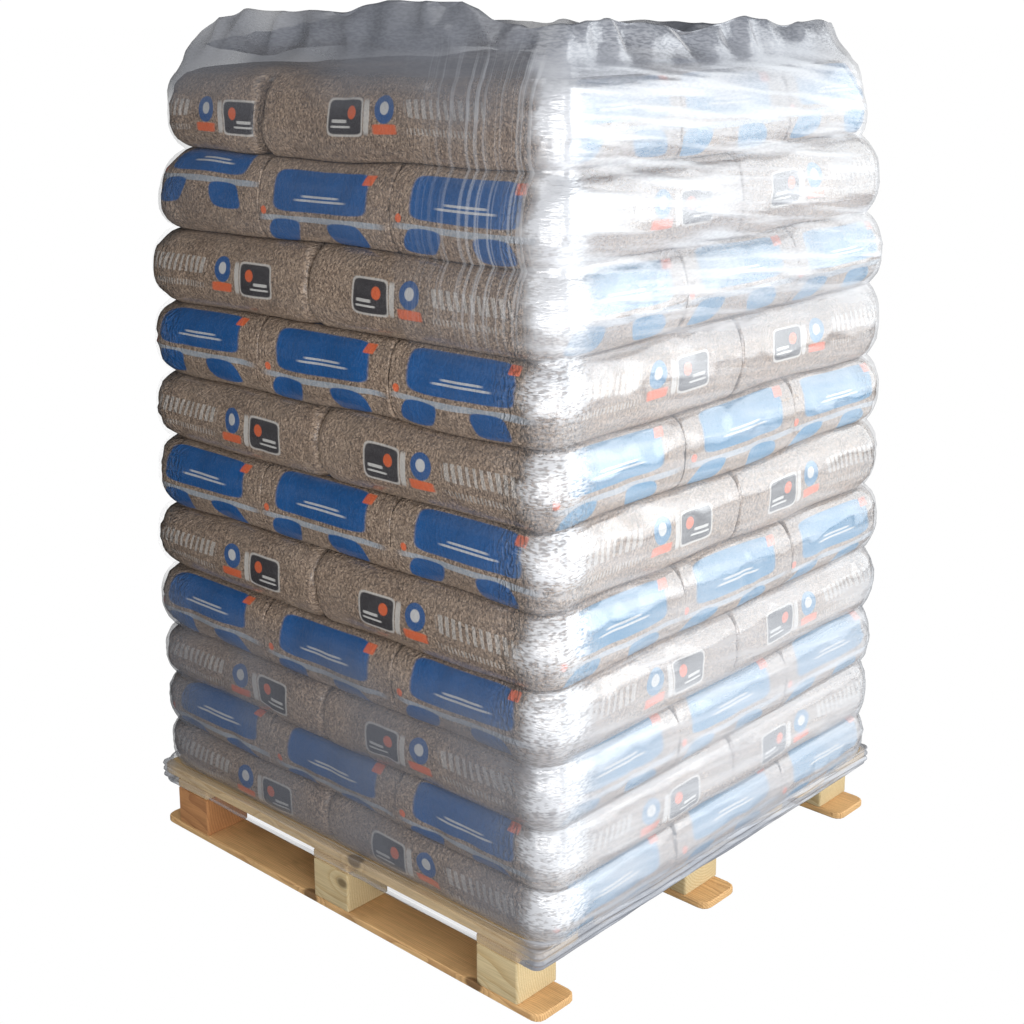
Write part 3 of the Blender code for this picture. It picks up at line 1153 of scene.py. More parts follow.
@dataclass
class Sack:
    """One sack: its place in the stack and the form of its skin.

    Attributes:
        shape: levels and half sizes of the load.
        layer: its layer, 0 at the bottom.
        number: its number in the layer, from 1.
        low: lower X and Y of its plan.
        high: higher X and Y of its plan.
        along_x: whether its length lies along X.
        long_corner: radius where a long side on the front meets a joint.
        flat_corner: the same on the other faces of the load.
        corner_rounding: what long_corner gains towards the seams.
        end_corner: radius where an end meets a joint.
        inner_corner: radius of a corner inside the load.
        outer_tuck: how far the outer sides are tucked in at the seams.
        inner_tuck: the same for the inner sides.
        print_shift: how far the print lies off its place.
        tuck_power: how sudden the tuck is.
        side_rows: rows of points up the sides.
        face_pitch: width of a column on the outside of the load.
        hidden_pitch: the same inside it.
        corner_steps: steps round a corner.
        cap_shares: size of each ring on the caps, as a share of the plan.
        gap: room above the layer below.
        lump: height of the filling's lumps.
        crinkle: height of the skin's folds.
        most_rise: the most that both may add.
        crown: how much higher the middle of a top sack is.
        joint_dulling: share of the gloss lost at the joints.
        shaded_dulling: share of it lost low on the right face.
        joint_crumple: crumple at the joints.
        end_crumple: crumple at the ends.
        end_zone: distances from an end between which its crumple fades.
        joint_zone: distances from a joint between which its effects fade.
        right_zone: X between which the right face begins.
        lower_zone: shares of the height between which the lower part ends.
    """

    shape: LoadShape
    layer: int
    number: int
    low: tuple[float, float]
    high: tuple[float, float]
    along_x: bool
    long_corner: float = 0.015
    flat_corner: float = 0.006
    corner_rounding: float = 0.018
    end_corner: float = 0.0025
    inner_corner: float = 0.020
    outer_tuck: float = 0.014
    inner_tuck: float = 0.010
    print_shift: tuple[float, float] = (0.0, 0.0)
    tuck_power: float = 2.8
    side_rows: int = 19
    face_pitch: float = 0.0105
    hidden_pitch: float = 0.045
    corner_steps: int = 7
    cap_shares: tuple[float, ...] = (0.86, 0.66, 0.42, 0.18)
    gap: float = 0.0004
    lump: float = 0.0022
    crinkle: float = 0.0022
    most_rise: float = 0.0012
    crown: float = 0.020
    joint_dulling: float = 0.85
    shaded_dulling: float = 0.5
    joint_crumple: float = 0.08
    end_crumple: float = 0.20
    end_zone: tuple[float, float] = (0.0, 0.10)
    joint_zone: tuple[float, float] = (0.02, 0.12)
    right_zone: tuple[float, float] = (0.50, 0.56)
    lower_zone: tuple[float, float] = (0.15, 0.48)

    @property
    def name(self) -> str:
        """Name of the piece."""
        return f"sack_{self.layer + 1:02d}_{self.number}"

    @property
    def outer(self) -> tuple[bool, bool, bool, bool]:
        """Tells for each side whether it is on the outside of the load.

        Returns:
            Four flags, for +X, +Y, -X and -Y.
        """
        reach_x = self.shape.half_x[self.layer] - 0.05
        reach_y = self.shape.half_y[self.layer] - 0.05
        low, high = self.low, self.high
        return (high[0] > reach_x, high[1] > reach_y, low[0] < -reach_x, low[1] < -reach_y)

    @property
    def middle(self) -> Array:
        """Middle of the sack's plan."""
        return np.array([(self.low[0] + self.high[0]) / 2, (self.low[1] + self.high[1]) / 2])

    def limits(self, share: Array) -> list[Array]:
        """Reach of each side at shares of the height, tucked in towards both seams.

        The tuck is depth times 1 - (1 - |2 t - 1|^n)^(1/n), a rounded edge.

        Args:
            share: shares of the layer's height.

        Returns:
            Coordinate of each side, from +X anticlockwise, by share.
        """
        flat = np.maximum(1 - np.abs(2 * share - 1) ** self.tuck_power, 0.0)
        fold = 1 - flat ** (1 / self.tuck_power)
        reaches = []
        for side, outside in enumerate(self.outer):
            seams = self.shape.half_x if side % 2 == 0 else self.shape.half_y
            sign = 1 if side < 2 else -1
            if outside:
                reach = self.shape.half(self.layer, share, seams) - self.outer_tuck * fold
            else:
                edge = (self.high if side < 2 else self.low)[side % 2]
                reach = sign * edge - self.inner_tuck * fold
            reaches.append(sign * reach)
        return reaches

    def radii(self, share: Array) -> list[Array]:
        """Radius of each upright corner at shares of the height.

        Args:
            share: shares of the layer's height.

        Returns:
            Radius of each of the four corners, by share.
        """
        made = []
        for corner in range(4):
            sides = (corner, (corner + 1) % 4)
            faces = [side for side in sides if self.outer[side]]
            if len(faces) == 2:
                base = self.shape.corner_radius(corner, self.layer, share) + 0.001
            elif faces:
                long_side = (faces[0] % 2 == 1) == self.along_x
                front = faces[0] == 3
                side_corner = self.long_corner if front else self.flat_corner
                base = side_corner if long_side else self.end_corner
                if long_side and front:
                    base = base + self.corner_rounding * np.abs(2 * share - 1) ** 2.5
            else:
                base = self.inner_corner
            made.append(base - 0.3 * np.minimum(base, 0.02) * np.abs(2 * share - 1) ** 3)
        return made

    def outline(self, share: Array) -> tuple[Array, Array]:
        """Rings of a rounded rectangle, one for each share.

        Args:
            share: shares of the layer's height.

        Returns:
            Plan points as rows, columns and two coordinates, and the side of each column.
        """
        right, rear, left, front = self.limits(share)
        radii = self.radii(share)
        centres = [
            np.stack([right - radii[0], rear - radii[0]], -1),
            np.stack([left + radii[1], rear - radii[1]], -1),
            np.stack([left + radii[2], front + radii[2]], -1),
            np.stack([right - radii[3], front + radii[3]], -1),
        ]
        return rounded_rings(centres, radii, self.columns, self.corner_steps)

    def columns(self, side: int, length: float) -> int:
        """Number of columns on a side: close on the outside of the load, wide inside."""
        return max(3, round(length / (self.face_pitch if self.outer[side] else self.hidden_pitch)))

    def surface(self) -> tuple[Array, Array, Array, Array]:
        """Rings of the skin from the middle of the bottom to the middle of the top.

        Returns:
            Points by row and column, the side of each column, the cap share of each row
            (0 on the sides, towards 1 in the middle of a cap) and the crumple numbers.
        """
        turn = np.pi * np.arange(self.side_rows) / (self.side_rows - 1)
        share = 0.5 * (1 - np.cos(turn))
        plan, sides = self.outline(share)
        middle = self.middle
        caps = np.array(self.cap_shares)[:, None, None]
        bottom = (middle + (plan[0] - middle) * caps)[::-1]
        top = middle + (plan[-1] - middle) * caps
        plan = np.concatenate([bottom, plan, top])
        share = np.concatenate([np.zeros(len(caps)), share, np.ones(len(caps))])
        inward = np.concatenate([1 - caps[::-1, 0, 0], np.zeros(self.side_rows), 1 - caps[:, 0, 0]])
        x, y = plan[..., 0], plan[..., 1]
        floor = self.shape.seam_surface(self.layer, x, y) + (self.gap if self.layer else 0.0)
        roof = self.shape.seam_surface(self.layer + 1, x, y)
        top_layer = self.layer == self.shape.layers - 1
        if top_layer:
            roof = roof + self.crown * np.sqrt(inward)[:, None]
        z = floor * (1 - share[:, None]) + roof * share[:, None]
        points = np.concatenate([plan, z[..., None]], axis=2)
        crumple = self.crumple(points)
        return self.displace(points, share, inward, crumple, top_layer), sides, inward, crumple

    def crumple(self, points: Array) -> Array:
        """How crumpled the skin is: most at the load's corners, some at the sack's ends.

        Args:
            points: array whose last axis is the coordinates.

        Returns:
            One number for each point, from 0 to 1.
        """
        ends = 1 - smooth(self.from_edge(points, 0 if self.along_x else 1), *self.end_zone)
        own = self.joint_crumple * self.joint(points) + self.end_crumple * ends
        return np.clip(self.shape.nearness(points) + own, 0.0, 1.0)

    def from_edge(self, points: Array, axis: int) -> Array:
        """Distance from the nearer edge of the sack's plan, along X (0) or Y (1)."""
        place = points[..., axis]
        return np.maximum(np.minimum(self.high[axis] - place, place - self.low[axis]), 0.0)

    def joint(self, points: Array) -> Array:
        """1 at the sack's own upright corners, falling to 0 at 0.12 m from them."""
        distance = np.hypot(self.from_edge(points, 0), self.from_edge(points, 1))
        return 1 - smooth(distance, *self.joint_zone)

    def gloss(self, points: Array, right: Array) -> Array:
        """How glossy the skin is: dull at its joints on the left, and low on the right face.

        Args:
            points: vertices of the skin.
            right: how far each one is on the right face.

        Returns:
            Gloss of each vertex, from 0 to 1.
        """
        on_left = 1 - smooth(points[:, 0], 0.50, 0.54)
        dull = self.joint(points) * (1 - self.shape.nearness(points)) * on_left
        lower = 1 - smooth(self.shape.share(points), *self.lower_zone)
        at_joints = 1 - self.joint_dulling * np.clip(2.5 * dull, 0.0, 1.0)
        return at_joints * (1 - self.shaded_dulling * lower * right)

    def displace(
        self, points: Array, share: Array, inward: Array, crumple: Array, top_layer: bool
    ) -> Array:
        """Adds lumps of the filling and folds of the skin along the normals.

        Args:
            points: grid of the smooth form.
            share: share of the height of each row.
            inward: cap share of each row.
            crumple: crumple number of each point.
            top_layer: whether the top is free, so that it may be lumpy too.

        Returns:
            The grid with its relief.
        """
        seed = 100 * self.layer + self.number
        free = (1 - np.abs(2 * share - 1) ** 6) * (inward == 0)
        if top_layer:
            free = np.where(share > 0.5, 1.0, free)
        stretched = points * np.array([1.0, 1.0, 4.0])
        lumps = waves(points, seed, 0.05, 0.16)
        folds = waves(stretched, seed + 50, 0.07, 0.16)
        rise = np.minimum(self.lump * lumps + self.crinkle * crumple * folds, self.most_rise)
        return points + grid_normals(points) * (rise * free[:, None])[..., None]

    def build(self, material: bpy.types.Material) -> bpy.types.Object:
        """Makes the sack's mesh, its two maps and its crumple, gloss and painted glare numbers.

        Args:
            material: the sack finish.

        Returns:
            The sack, riding on the root body.
        """
        grid, sides, inward, crumple = self.surface()
        rows, columns = grid.shape[:2]
        quads = ring_faces(rows, columns)
        poles = np.stack([grid[0].mean(0), grid[-1].mean(0)])
        points = np.concatenate([grid.reshape(-1, 3), poles])
        low_pole, high_pole = rows * columns, rows * columns + 1
        below = fan(0, columns, low_pole)[:, [1, 0, 2]]
        fans = np.concatenate([below, fan((rows - 1) * columns, columns, high_pole)])
        made = build_mesh(self.name, points, quads, fans)
        skin, design = self.maps(grid, sides, inward, points, fans)
        set_uv(made.data, "skin", skin)
        set_uv(made.data, "print", design)
        set_value(made.data, "crumple", np.concatenate([crumple.ravel(), [0.0, 0.0]]))
        right = smooth(points[:, 0], *self.right_zone)
        set_value(made.data, "gloss", self.gloss(points, right))
        # Painted glare: the share of the right face on which the ink is painted lighter.
        set_value(made.data, "glare_side", right)
        made.data.materials.append(material)
        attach(made, "root")
        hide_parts(f"sack_layer_{self.layer + 1:02d}")
        return made

    def maps(
        self, grid: Array, sides: Array, inward: Array, points: Array, fans: Array
    ) -> tuple[Array, Array]:
        """Works out both maps for each face corner, in metres.

        On the sides U is the length round the sack and V the length up the skin from
        its middle. On the caps they are the plan coordinates.

        Args:
            grid: points by row and column.
            sides: side of each column.
            inward: cap share of each row.
            points: all vertices, with the poles last.
            fans: triangles round the poles.

        Returns:
            The map of the filling and the map of the printed design.
        """
        rows, columns = grid.shape[:2]
        waist = grid[rows // 2]
        steps = np.linalg.norm(np.roll(waist, -1, axis=0) - waist, axis=1)
        around = np.concatenate([[0.0], np.cumsum(steps)])
        climb = np.linalg.norm(np.diff(grid, axis=0), axis=2).mean(axis=1)
        up = np.concatenate([[0.0], np.cumsum(climb)])
        on_side = np.flatnonzero(inward == 0)
        up = up - (up[on_side[0]] + up[on_side[-1]]) / 2
        row, column = np.meshgrid(np.arange(rows - 1), np.arange(columns), indexing="ij")
        row, column = row.ravel(), column.ravel()
        corner_row = np.stack([row, row, row + 1, row + 1], -1)
        corner_column = np.stack([column, column + 1, column + 1, column], -1)
        u = around[corner_column]
        v = up[corner_row]
        skin = np.stack([u + 2.3 * self.layer, v + 1.7 * self.number], -1)
        quad_side = sides[column]
        centre = np.zeros(4)
        shift = np.zeros(4)
        flip = np.ones(4)
        for side in range(4):
            members = np.flatnonzero(sides == side)
            if members[0] == 0 and members[-1] == columns - 1:
                wrapped = np.where(members > columns // 2, members - columns, members)
                places = np.where(wrapped < 0, around[members] - around[-1], around[members])
                centre[side] = (places.min() + places.max()) / 2
            else:
                centre[side] = (around[members[0]] + around[members[-1]]) / 2
            is_long = (side % 2 == 1) == self.along_x
            shift[side] = Panel.LONG.value if is_long else Panel.END.value
            if not self.outer[side]:
                shift[side] = Panel.INNER.value
            if is_long:
                angle = side * math.pi / 2
                tangent = np.array([-math.sin(angle), math.cos(angle)])
                flip[side] = 1.0 if float(tangent @ self.middle) < 0 else -1.0
        local = u - centre[quad_side][:, None]
        local = np.where(local > around[-1] / 2, local - around[-1], local)
        design_u = local * flip[quad_side][:, None] + shift[quad_side][:, None]
        design = np.stack([design_u + self.print_shift[0], v + self.print_shift[1]], -1)
        flat = (np.maximum(inward[row], inward[row + 1]) > 0)[:, None]
        index = corner_row * columns + corner_column % columns
        made = []
        caps, poles = self.cap_maps(points[index]), self.cap_maps(points[fans])
        for side_map, cap_map, pole_map in zip((skin, design), caps, poles):
            whole = np.where(flat[..., None], cap_map, side_map)
            made.append(np.concatenate([whole.reshape(-1, 2), pole_map.reshape(-1, 2)]))
        return made[0], made[1]

    def cap_maps(self, places: Array) -> tuple[Array, Array]:
        """Works out both maps on the caps.

        The filling reads plan coordinates, the design those along and across the sack.

        Args:
            places: places of the face corners.

        Returns:
            The map of the filling and the map of the design.
        """
        run, across = (0, 1) if self.along_x else (1, 0)
        middle = self.middle
        along = places[..., run] - middle[run] + Panel.FLAT.value
        design = np.stack([along, places[..., across] - middle[across]], -1)
        return places[..., :2] + 3.1 * self.layer, design


def thirds(half: float) -> tuple[float, ...]:
    """Edges of three equal parts from -half to half."""
    return (-half, -half / 3, half / 3, half)


@dataclass
class SackStack:
    """Eleven layers of six sacks, each layer turned against the one below.

    Attributes:
        shape: levels and half sizes of the load.
        seam_gap: room round each sack.
        joints: X of the joint in each layer whose sacks lie along X.
        top_joint_gap: room on each side of the top layer's joint.
        turned_up: layer, number and rise of the one print that sits high.
    """

    shape: LoadShape
    seam_gap: float = 0.0006
    joints: tuple[float, ...] = (
        -0.02, 0.0, -0.02, 0.0, -0.03, 0.0, -0.015, 0.0, -0.038, 0.0, -0.21,
    )
    top_joint_gap: float = 0.012
    turned_up: tuple[int, int, float] = (9, 1, 0.052)

    def sacks(self) -> list[Sack]:
        """Lists the sacks from the bottom up.

        Returns:
            All sacks, each with its own small shift of the print.
        """
        made = []
        stream = np.random.default_rng(12)
        for layer in range(self.shape.layers):
            half_x = self.shape.half_x[layer]
            half_y = self.shape.half_y[layer]
            along_x = layer % 2 == 0
            joint = self.joints[layer]
            lines_x = (-half_x, joint, half_x) if along_x else thirds(half_x)
            apart = self.top_joint_gap if layer == self.shape.layers - 1 else self.seam_gap
            lines_y = thirds(half_y) if along_x else (-half_y, 0.0, half_y)
            number = 0
            for j in range(len(lines_y) - 1):
                for i in range(len(lines_x) - 1):
                    number += 1
                    low = (lines_x[i] + (apart if i else self.seam_gap), lines_y[j] + self.seam_gap)
                    last = i == len(lines_x) - 2
                    after = self.seam_gap if last else apart
                    high = (lines_x[i + 1] - after, lines_y[j + 1] - self.seam_gap)
                    sack = Sack(self.shape, layer, number, low, high, along_x)
                    shift_u, shift_v = stream.normal(0.0, 1.0, 2) * (0.008, 0.004)
                    if (layer, number) == self.turned_up[:2]:
                        shift_v = -self.turned_up[2]
                    sack.print_shift = (float(shift_u), float(shift_v))
                    made.append(sack)
        return made

    def build(self, material: bpy.types.Material) -> list[bpy.types.Object]:
        """Builds and reports every sack.

        Args:
            material: the sack finish.

        Returns:
            The sacks as scene objects.
        """
        made = []
        for sack in self.sacks():
            piece = sack.build(material)
            made.append(piece)
            LOG.info("%s: %d faces", piece.name, len(piece.data.polygons))
        return made


@dataclass
class StretchWrap:
    """The stretch film: its body, its loose top and its rolled lower edge.

    Attributes:
        shape: levels and half sizes of the load.
        side_columns: columns on each side.
        corner_steps: steps round a corner.
        rows_per_layer: rows of points up a layer.
        clearance: distance from the load.
        ripple: height of the ripples in the walls.
        flare: how far the walls open at the top.
        deck_half: half size of the deck, with the clearance.
        top_profile: inset and rise of the loose top, from the seam to the middle.
        hem_profile: share of the run, level and reach of the lower edge.
        hem_rows: rows of points up the lower edge.
        hem_inset: how far its upper end is drawn in along Y.
        right_zone: X between which the right face begins.
        foot_zone: levels between which the turns at the foot end.
        left_foot_zone: the same away from the right face.
        rim_zone: levels between which the rim's haze begins.
        high_zone: levels between which the folds of the upper turns begin.
        bulge_zone: shares of a layer between which its upper part begins.
        front_right: X, and -Y, between which the near corner begins.
        speckle_edge: X between which the speckles begin.
        glare_edge: X between which the glare begins.
        top_turn_edge: level of the lower edge of the upper turns.
        top_turn_drop: how much lower it is near the corner.
        top_turn_soft: half the height over which it fades.
        bundle_place: X of the bundle of upright folds.
        bundle_width: its width.
        left_haze: cover of plain film, upper turns, rim and foot on the left.
        right_haze: the same on the right face.
        rim_level: height of the loose rim away from the front.
        corner_sag: how much lower it is at the left front corner.
        fold_height: height of the loose folds.
        rim_stations: X and height of the rim along the front.
    """

    shape: LoadShape
    side_columns: int = 92
    corner_steps: int = 16
    rows_per_layer: int = 13
    clearance: float = 0.0016
    ripple: float = 0.0014
    flare: float = 0.010
    deck_half: float = 0.5706
    top_profile: tuple[tuple[float, float], ...] = (
        (0.0, 0.0), (0.004, 0.13), (0.008, 0.26), (0.0115, 0.38), (0.0145, 0.50), (0.0175, 0.62),
        (0.0205, 0.73), (0.0235, 0.84), (0.027, 0.93), (0.030, 1.0), (0.036, 0.98), (0.044, 0.90),
        (0.055, 0.80), (0.07, 0.70), (0.09, 0.62), (0.12, 0.56), (0.16, 0.53), (0.21, 0.52),
        (0.27, 0.52), (0.34, 0.52), (0.41, 0.52), (0.46, 0.52),
    )
    hem_profile: tuple[tuple[float, float, float], ...] = (
        (0.0, 0.108, -0.010), (0.16, 0.104, -0.002), (0.36, 0.116, 0.0025),
        (0.75, 0.1455, 0.003), (0.92, 0.151, 0.006), (1.0, 0.156, 0.008),
    )
    hem_rows: int = 34
    hem_inset: float = 0.014
    right_zone: tuple[float, float] = (0.50, 0.565)
    foot_zone: tuple[float, float] = (0.38, 0.80)
    left_foot_zone: tuple[float, float] = (0.50, 0.64)
    rim_zone: tuple[float, float] = (1.59, 1.72)
    high_zone: tuple[float, float] = (1.20, 1.30)
    bulge_zone: tuple[float, float] = (0.28, 0.55)
    front_right: tuple[float, float] = (0.40, 0.50)
    speckle_edge: tuple[float, float] = (0.510, 0.555)
    glare_edge: tuple[float, float] = (0.485, 0.535)
    top_turn_edge: float = 1.385
    top_turn_drop: float = 0.17
    top_turn_soft: float = 0.006
    bundle_place: float = 0.43
    bundle_width: float = 0.14
    left_haze: tuple[float, float, float, float] = (0.001, 0.12, 0.54, 0.48)
    right_haze: tuple[float, float, float, float] = (0.19, 0.16, 0.34, 0.15)
    rim_level: float = 1.778
    corner_sag: float = 0.050
    fold_height: float = 0.007
    rim_stations: tuple[tuple[float, float], ...] = (
        (-0.55, 1.722), (-0.48, 1.748), (-0.42, 1.775), (-0.36, 1.794), (-0.30, 1.803),
        (-0.20, 1.800), (-0.06, 1.800), (0.04, 1.808), (0.12, 1.818), (0.30, 1.816),
        (0.36, 1.788), (0.45, 1.772), (0.55, 1.776),
    )

    def outline(self, half_x: Array, half_y: Array, radii: list[Array]) -> Array:
        """Rings of a rounded rectangle with the same columns in every ring.

        Args:
            half_x: half size along X of each ring.
            half_y: half size along Y of each ring.
            radii: radius of each ring at each of the four corners.

        Returns:
            Plan points as rows, columns and two coordinates.
        """
        signs = ((1, 1), (-1, 1), (-1, -1), (1, -1))
        centres = [
            np.stack([sx * (half_x - r), sy * (half_y - r)], -1)
            for (sx, sy), r in zip(signs, radii)
        ]
        plan, _ = rounded_rings(
            centres, radii, lambda side, length: self.side_columns, self.corner_steps
        )
        return plan

    def haze(self, points: Array) -> Array:
        """How milky the film is: many turns at the top and the foot, few between.

        Args:
            points: array whose last axis is the coordinates.

        Returns:
            Cover of the film at each point.
        """
        x, y, z = points[..., 0], points[..., 1], points[..., 2]
        spiral = z + 0.012 * waves(points, 7, 0.3, 1.2, 6)
        right = smooth(x, *self.right_zone)
        edge = self.top_turn_edge - self.top_turn_drop * smooth(x, 0.18, 0.24) - 0.03 * right
        top = smooth(spiral, edge - self.top_turn_soft, edge + self.top_turn_soft)
        rim = smooth(z + 0.035 * waves(points, 8, 0.2, 0.7, 6), *self.rim_zone)
        foot = 1 - smooth(spiral - 0.04 * x, *self.left_foot_zone)
        turn = 1 - 0.5 * smooth(y + 0.02 * np.sin(9 * z), 0.395, 0.410)
        plain, at_top, at_rim, at_foot = self.left_haze
        left = plain + at_top * top + at_rim * rim + at_foot * foot
        low = 1 - smooth(z, *self.foot_zone)
        plain, at_top, at_rim, at_foot = self.right_haze
        on_right = plain + at_top * top * turn + at_rim * rim + at_foot * low
        return left * (1 - right) + right * on_right

    def folds(self, points: Array) -> dict[str, Array]:
        """Strength of the film's folds: across, upright, and crumpled every way.

        Each one is a product of smooth steps over the right face, the near corner and the height.

        Args:
            points: array whose last axis is the coordinates.

        Returns:
            Strength of each kind of fold at each point, and of the painted glare, by name.
        """
        x, y, z = points[..., 0], points[..., 1], points[..., 2]
        corner = self.shape.nearness(points) ** 2
        bundle = np.exp(-(((x - self.bundle_place) / self.bundle_width) ** 2))
        near = bundle * smooth(-y, 0.40, 0.52)
        near = near * (1 - 0.8 * smooth(x, 0.505, 0.54))
        share = self.shape.share(points)
        # Painted glare: the crumpled folds, painted white by the film finish, gather on the upper
        # part of each layer at the near corner, facing the lights.
        facing = smooth(x, *self.front_right) * smooth(-y, *self.front_right)
        upper = smooth(share, *self.bulge_zone)
        edge = x + 0.016 * waves(points, 9, 0.02, 0.12)
        speckled = 1 - 0.95 * facing * (1 - smooth(edge, *self.speckle_edge))
        corner = corner * (0.08 + facing * (0.70 * upper + 0.12)) * speckled
        foot = 1 - smooth(z, *self.foot_zone)
        high = smooth(z, *self.high_zone)
        right = smooth(x, *self.right_zone)
        return {
            # Folds across the right face, painted white as glare, more on its upper part.
            "across": np.clip(0.02 + right * (0.12 + 0.24 * high), 0.0, 1.0),
            "upright": np.clip(0.34 * near * high, 0.0, 1.0),
            "crumple": np.clip(0.02 + 0.85 * corner + 0.08 * high * right, 0.0, 1.0),
            # Painted glare: even white on the right face, more at its foot, on the upper parts of
            # the layers at the near corner, and on the upper front face next to that corner.
            "pale": right * (0.10 + 0.17 * foot + 0.04 * high)
            + 0.30 * corner * facing * upper
            + 0.38 * high * smooth(edge, *self.glare_edge) * smooth(-y, 0.43, 0.49)
            + 0.03 * smooth(x, 0.1, 0.55) * (1 - right),
        }

    def finish_piece(
        self,
        name: str,
        grid: Array,
        numbers: dict[str, Array],
        material: bpy.types.Material,
        closed_top: bool = False,
    ) -> bpy.types.Object:
        """Puts one film grid into a mesh with its numbers and its finish.

        Args:
            name: name of the piece.
            grid: points by row and column.
            numbers: haze and strength of each kind of fold at each point, by name.
            material: film finish.
            closed_top: whether the last row closes on a middle point.

        Returns:
            The piece, riding on the root body.
        """
        rows, columns = grid.shape[:2]
        points = grid.reshape(-1, 3)
        fans = np.zeros((0, 3), int)
        if closed_top:
            points = np.concatenate([points, grid[-1].mean(0)[None]])
            fans = fan((rows - 1) * columns, columns, rows * columns)
            numbers = {
                key: np.append(value.ravel(), value[-1].mean()) for key, value in numbers.items()
            }
        made = build_mesh(name, points, ring_faces(rows, columns), fans)
        for key, value in numbers.items():
            set_value(made.data, key, value)
        made.data.materials.append(material)
        made.visible_shadow = False
        made.visible_diffuse = False
        made.visible_glossy = False
        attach(made, "root")
        LOG.info("%s: %d faces", name, len(made.data.polygons))
        return made

    def body(self, material: bpy.types.Material) -> bpy.types.Object:
        """The upright walls of film, drawn in a little at each line between layers.

        Each ring is the half size of the load at its height, seam line plus bulge, with ripples
        of a wave sum along the normals that grow towards the corners of the load.

        Args:
            material: the body's film finish.

        Returns:
            The piece, in place of the CAD wrap.
        """
        halves_x, halves_y, levels, radii = [], [], [], []
        for layer in range(self.shape.layers):
            share = np.arange(self.rows_per_layer) / self.rows_per_layer
            if layer == 0:
                share = share[1:]
            if layer == self.shape.layers - 1:
                share = np.append(share, 1.0)
            drawn = self.flare * smooth(share, 0.55, 1.0) * (layer == self.shape.layers - 1)
            halves_x.append(self.shape.half(layer, share, self.shape.half_x) + drawn)
            halves_y.append(self.shape.half(layer, share, self.shape.half_y) + drawn)
            low, high = self.shape.heights[layer : layer + 2]
            levels.append(low * (1 - share) + high * share)
            corners = [self.shape.corner_radius(corner, layer, share) for corner in range(4)]
            radii.append(np.stack(corners))
        half_x, half_y, level = (np.concatenate(a) for a in (halves_x, halves_y, levels))
        rounding = list(np.concatenate(radii, axis=1))
        plan = self.outline(half_x + self.clearance, half_y + self.clearance, rounding)
        z = level[:, None] + self.shape.lean(plan[..., 0], plan[..., 1], level[:, None])
        grid = np.concatenate([plan, z[..., None]], axis=2)
        crumple = self.shape.nearness(grid)
        rise = np.abs(waves(grid * np.array([1.0, 1.0, 3.5]), 3, 0.05, 0.15))
        rise = self.ripple * rise * (0.2 + crumple)
        grid = grid + grid_normals(grid) * rise[..., None]
        numbers = {"haze": self.haze(grid), **self.folds(grid)}
        made = self.finish_piece("wrap_body", grid, numbers, material)
        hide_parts("stretch_wrap")
        return made

    def rim_height(self, plan: Array) -> Array:
        """Height of the loose rim: stations along the front, gentle waves elsewhere.

        Args:
            plan: plan coordinates of the ring.

        Returns:
            Height of the rim at each place.
        """
        x, y = plan[..., 0], plan[..., 1]
        places, heights = np.array(self.rim_stations).T
        front = np.interp(x, places, heights)
        others = self.rim_level + 0.007 * waves(plan, 21, 0.15, 0.6, 8)
        others = others - self.corner_sag * np.exp(-((np.hypot(x + 0.52, y + 0.48) / 0.20) ** 2))
        share = smooth(-y, 0.36, 0.47)
        return front * share + others * (1 - share)

    def top(self, material: bpy.types.Material) -> bpy.types.Object:
        """The loose upper film: up to the crumpled rim, and over the top sacks.

        A profile of inset and rise runs round the top outline. The rise goes from the top seam
        to the rim, and folds 1 - 2 |w| of a wave sum w stand out where the film is loose.

        Args:
            material: the loose top's film finish.

        Returns:
            The piece.
        """
        top_x, top_y = self.shape.half_x[-1], self.shape.half_y[-1]
        insets, rise = np.array(self.top_profile).T
        fine = np.linspace(0, len(insets) - 1, 2 * len(insets) - 1)
        insets = np.interp(fine, np.arange(len(insets)), insets)
        rise = np.interp(fine, np.arange(len(rise)), rise)
        insets = insets - self.flare * (1 - smooth(insets, 0.0, 0.040))
        above = 1.0 + 0.5 * rise
        last = self.shape.layers - 1
        radii = [
            np.maximum(self.shape.corner_radius(corner, last, above) - 0.3 * insets, 0.02)
            for corner in range(4)
        ]
        plan = self.outline(top_x + self.clearance - insets, top_y + self.clearance - insets, radii)
        level = self.shape.heights[-1]
        base = level + self.shape.lean(plan[..., 0], plan[..., 1], np.full(plan.shape[:2], level))
        rim = self.rim_height(plan)
        grid = np.concatenate([plan, (base + (rim - base) * rise[:, None])[..., None]], axis=2)
        loose = smooth(rise, 0.1, 0.7)[:, None] * np.ones(grid.shape[1])
        folds = 1 - 2 * np.abs(waves(grid * np.array([1.0, 1.0, 0.35]), 31, 0.08, 0.22))
        outward = grid_normals(grid) * np.array([1.0, 1.0, 0.35])
        grid = grid + outward * (self.fold_height * loose * folds)[..., None]
        grid[..., 2] += 0.002 * loose * waves(plan, 33, 0.06, 0.15)
        right = smooth(grid[..., 0], 0.44, 0.52)
        patchy = 0.06 * loose * (1 + waves(grid, 35, 0.1, 0.4))
        numbers = {"haze": self.haze(grid) + patchy, **self.folds(grid)}
        numbers["across"] = numbers["across"] * (1 - 0.4 * loose)
        numbers["upright"] = numbers["upright"] * (1 - 0.8 * loose)
        # More crumpled folds on the right of the loose top, painted white by the film finish as
        # painted highlight.
        numbers["crumple"] = (
            numbers["crumple"] * (1 - 0.7 * loose) + 0.08 * loose + 0.16 * loose * right
        )
        return self.finish_piece("wrap_top", grid, numbers, material, True)

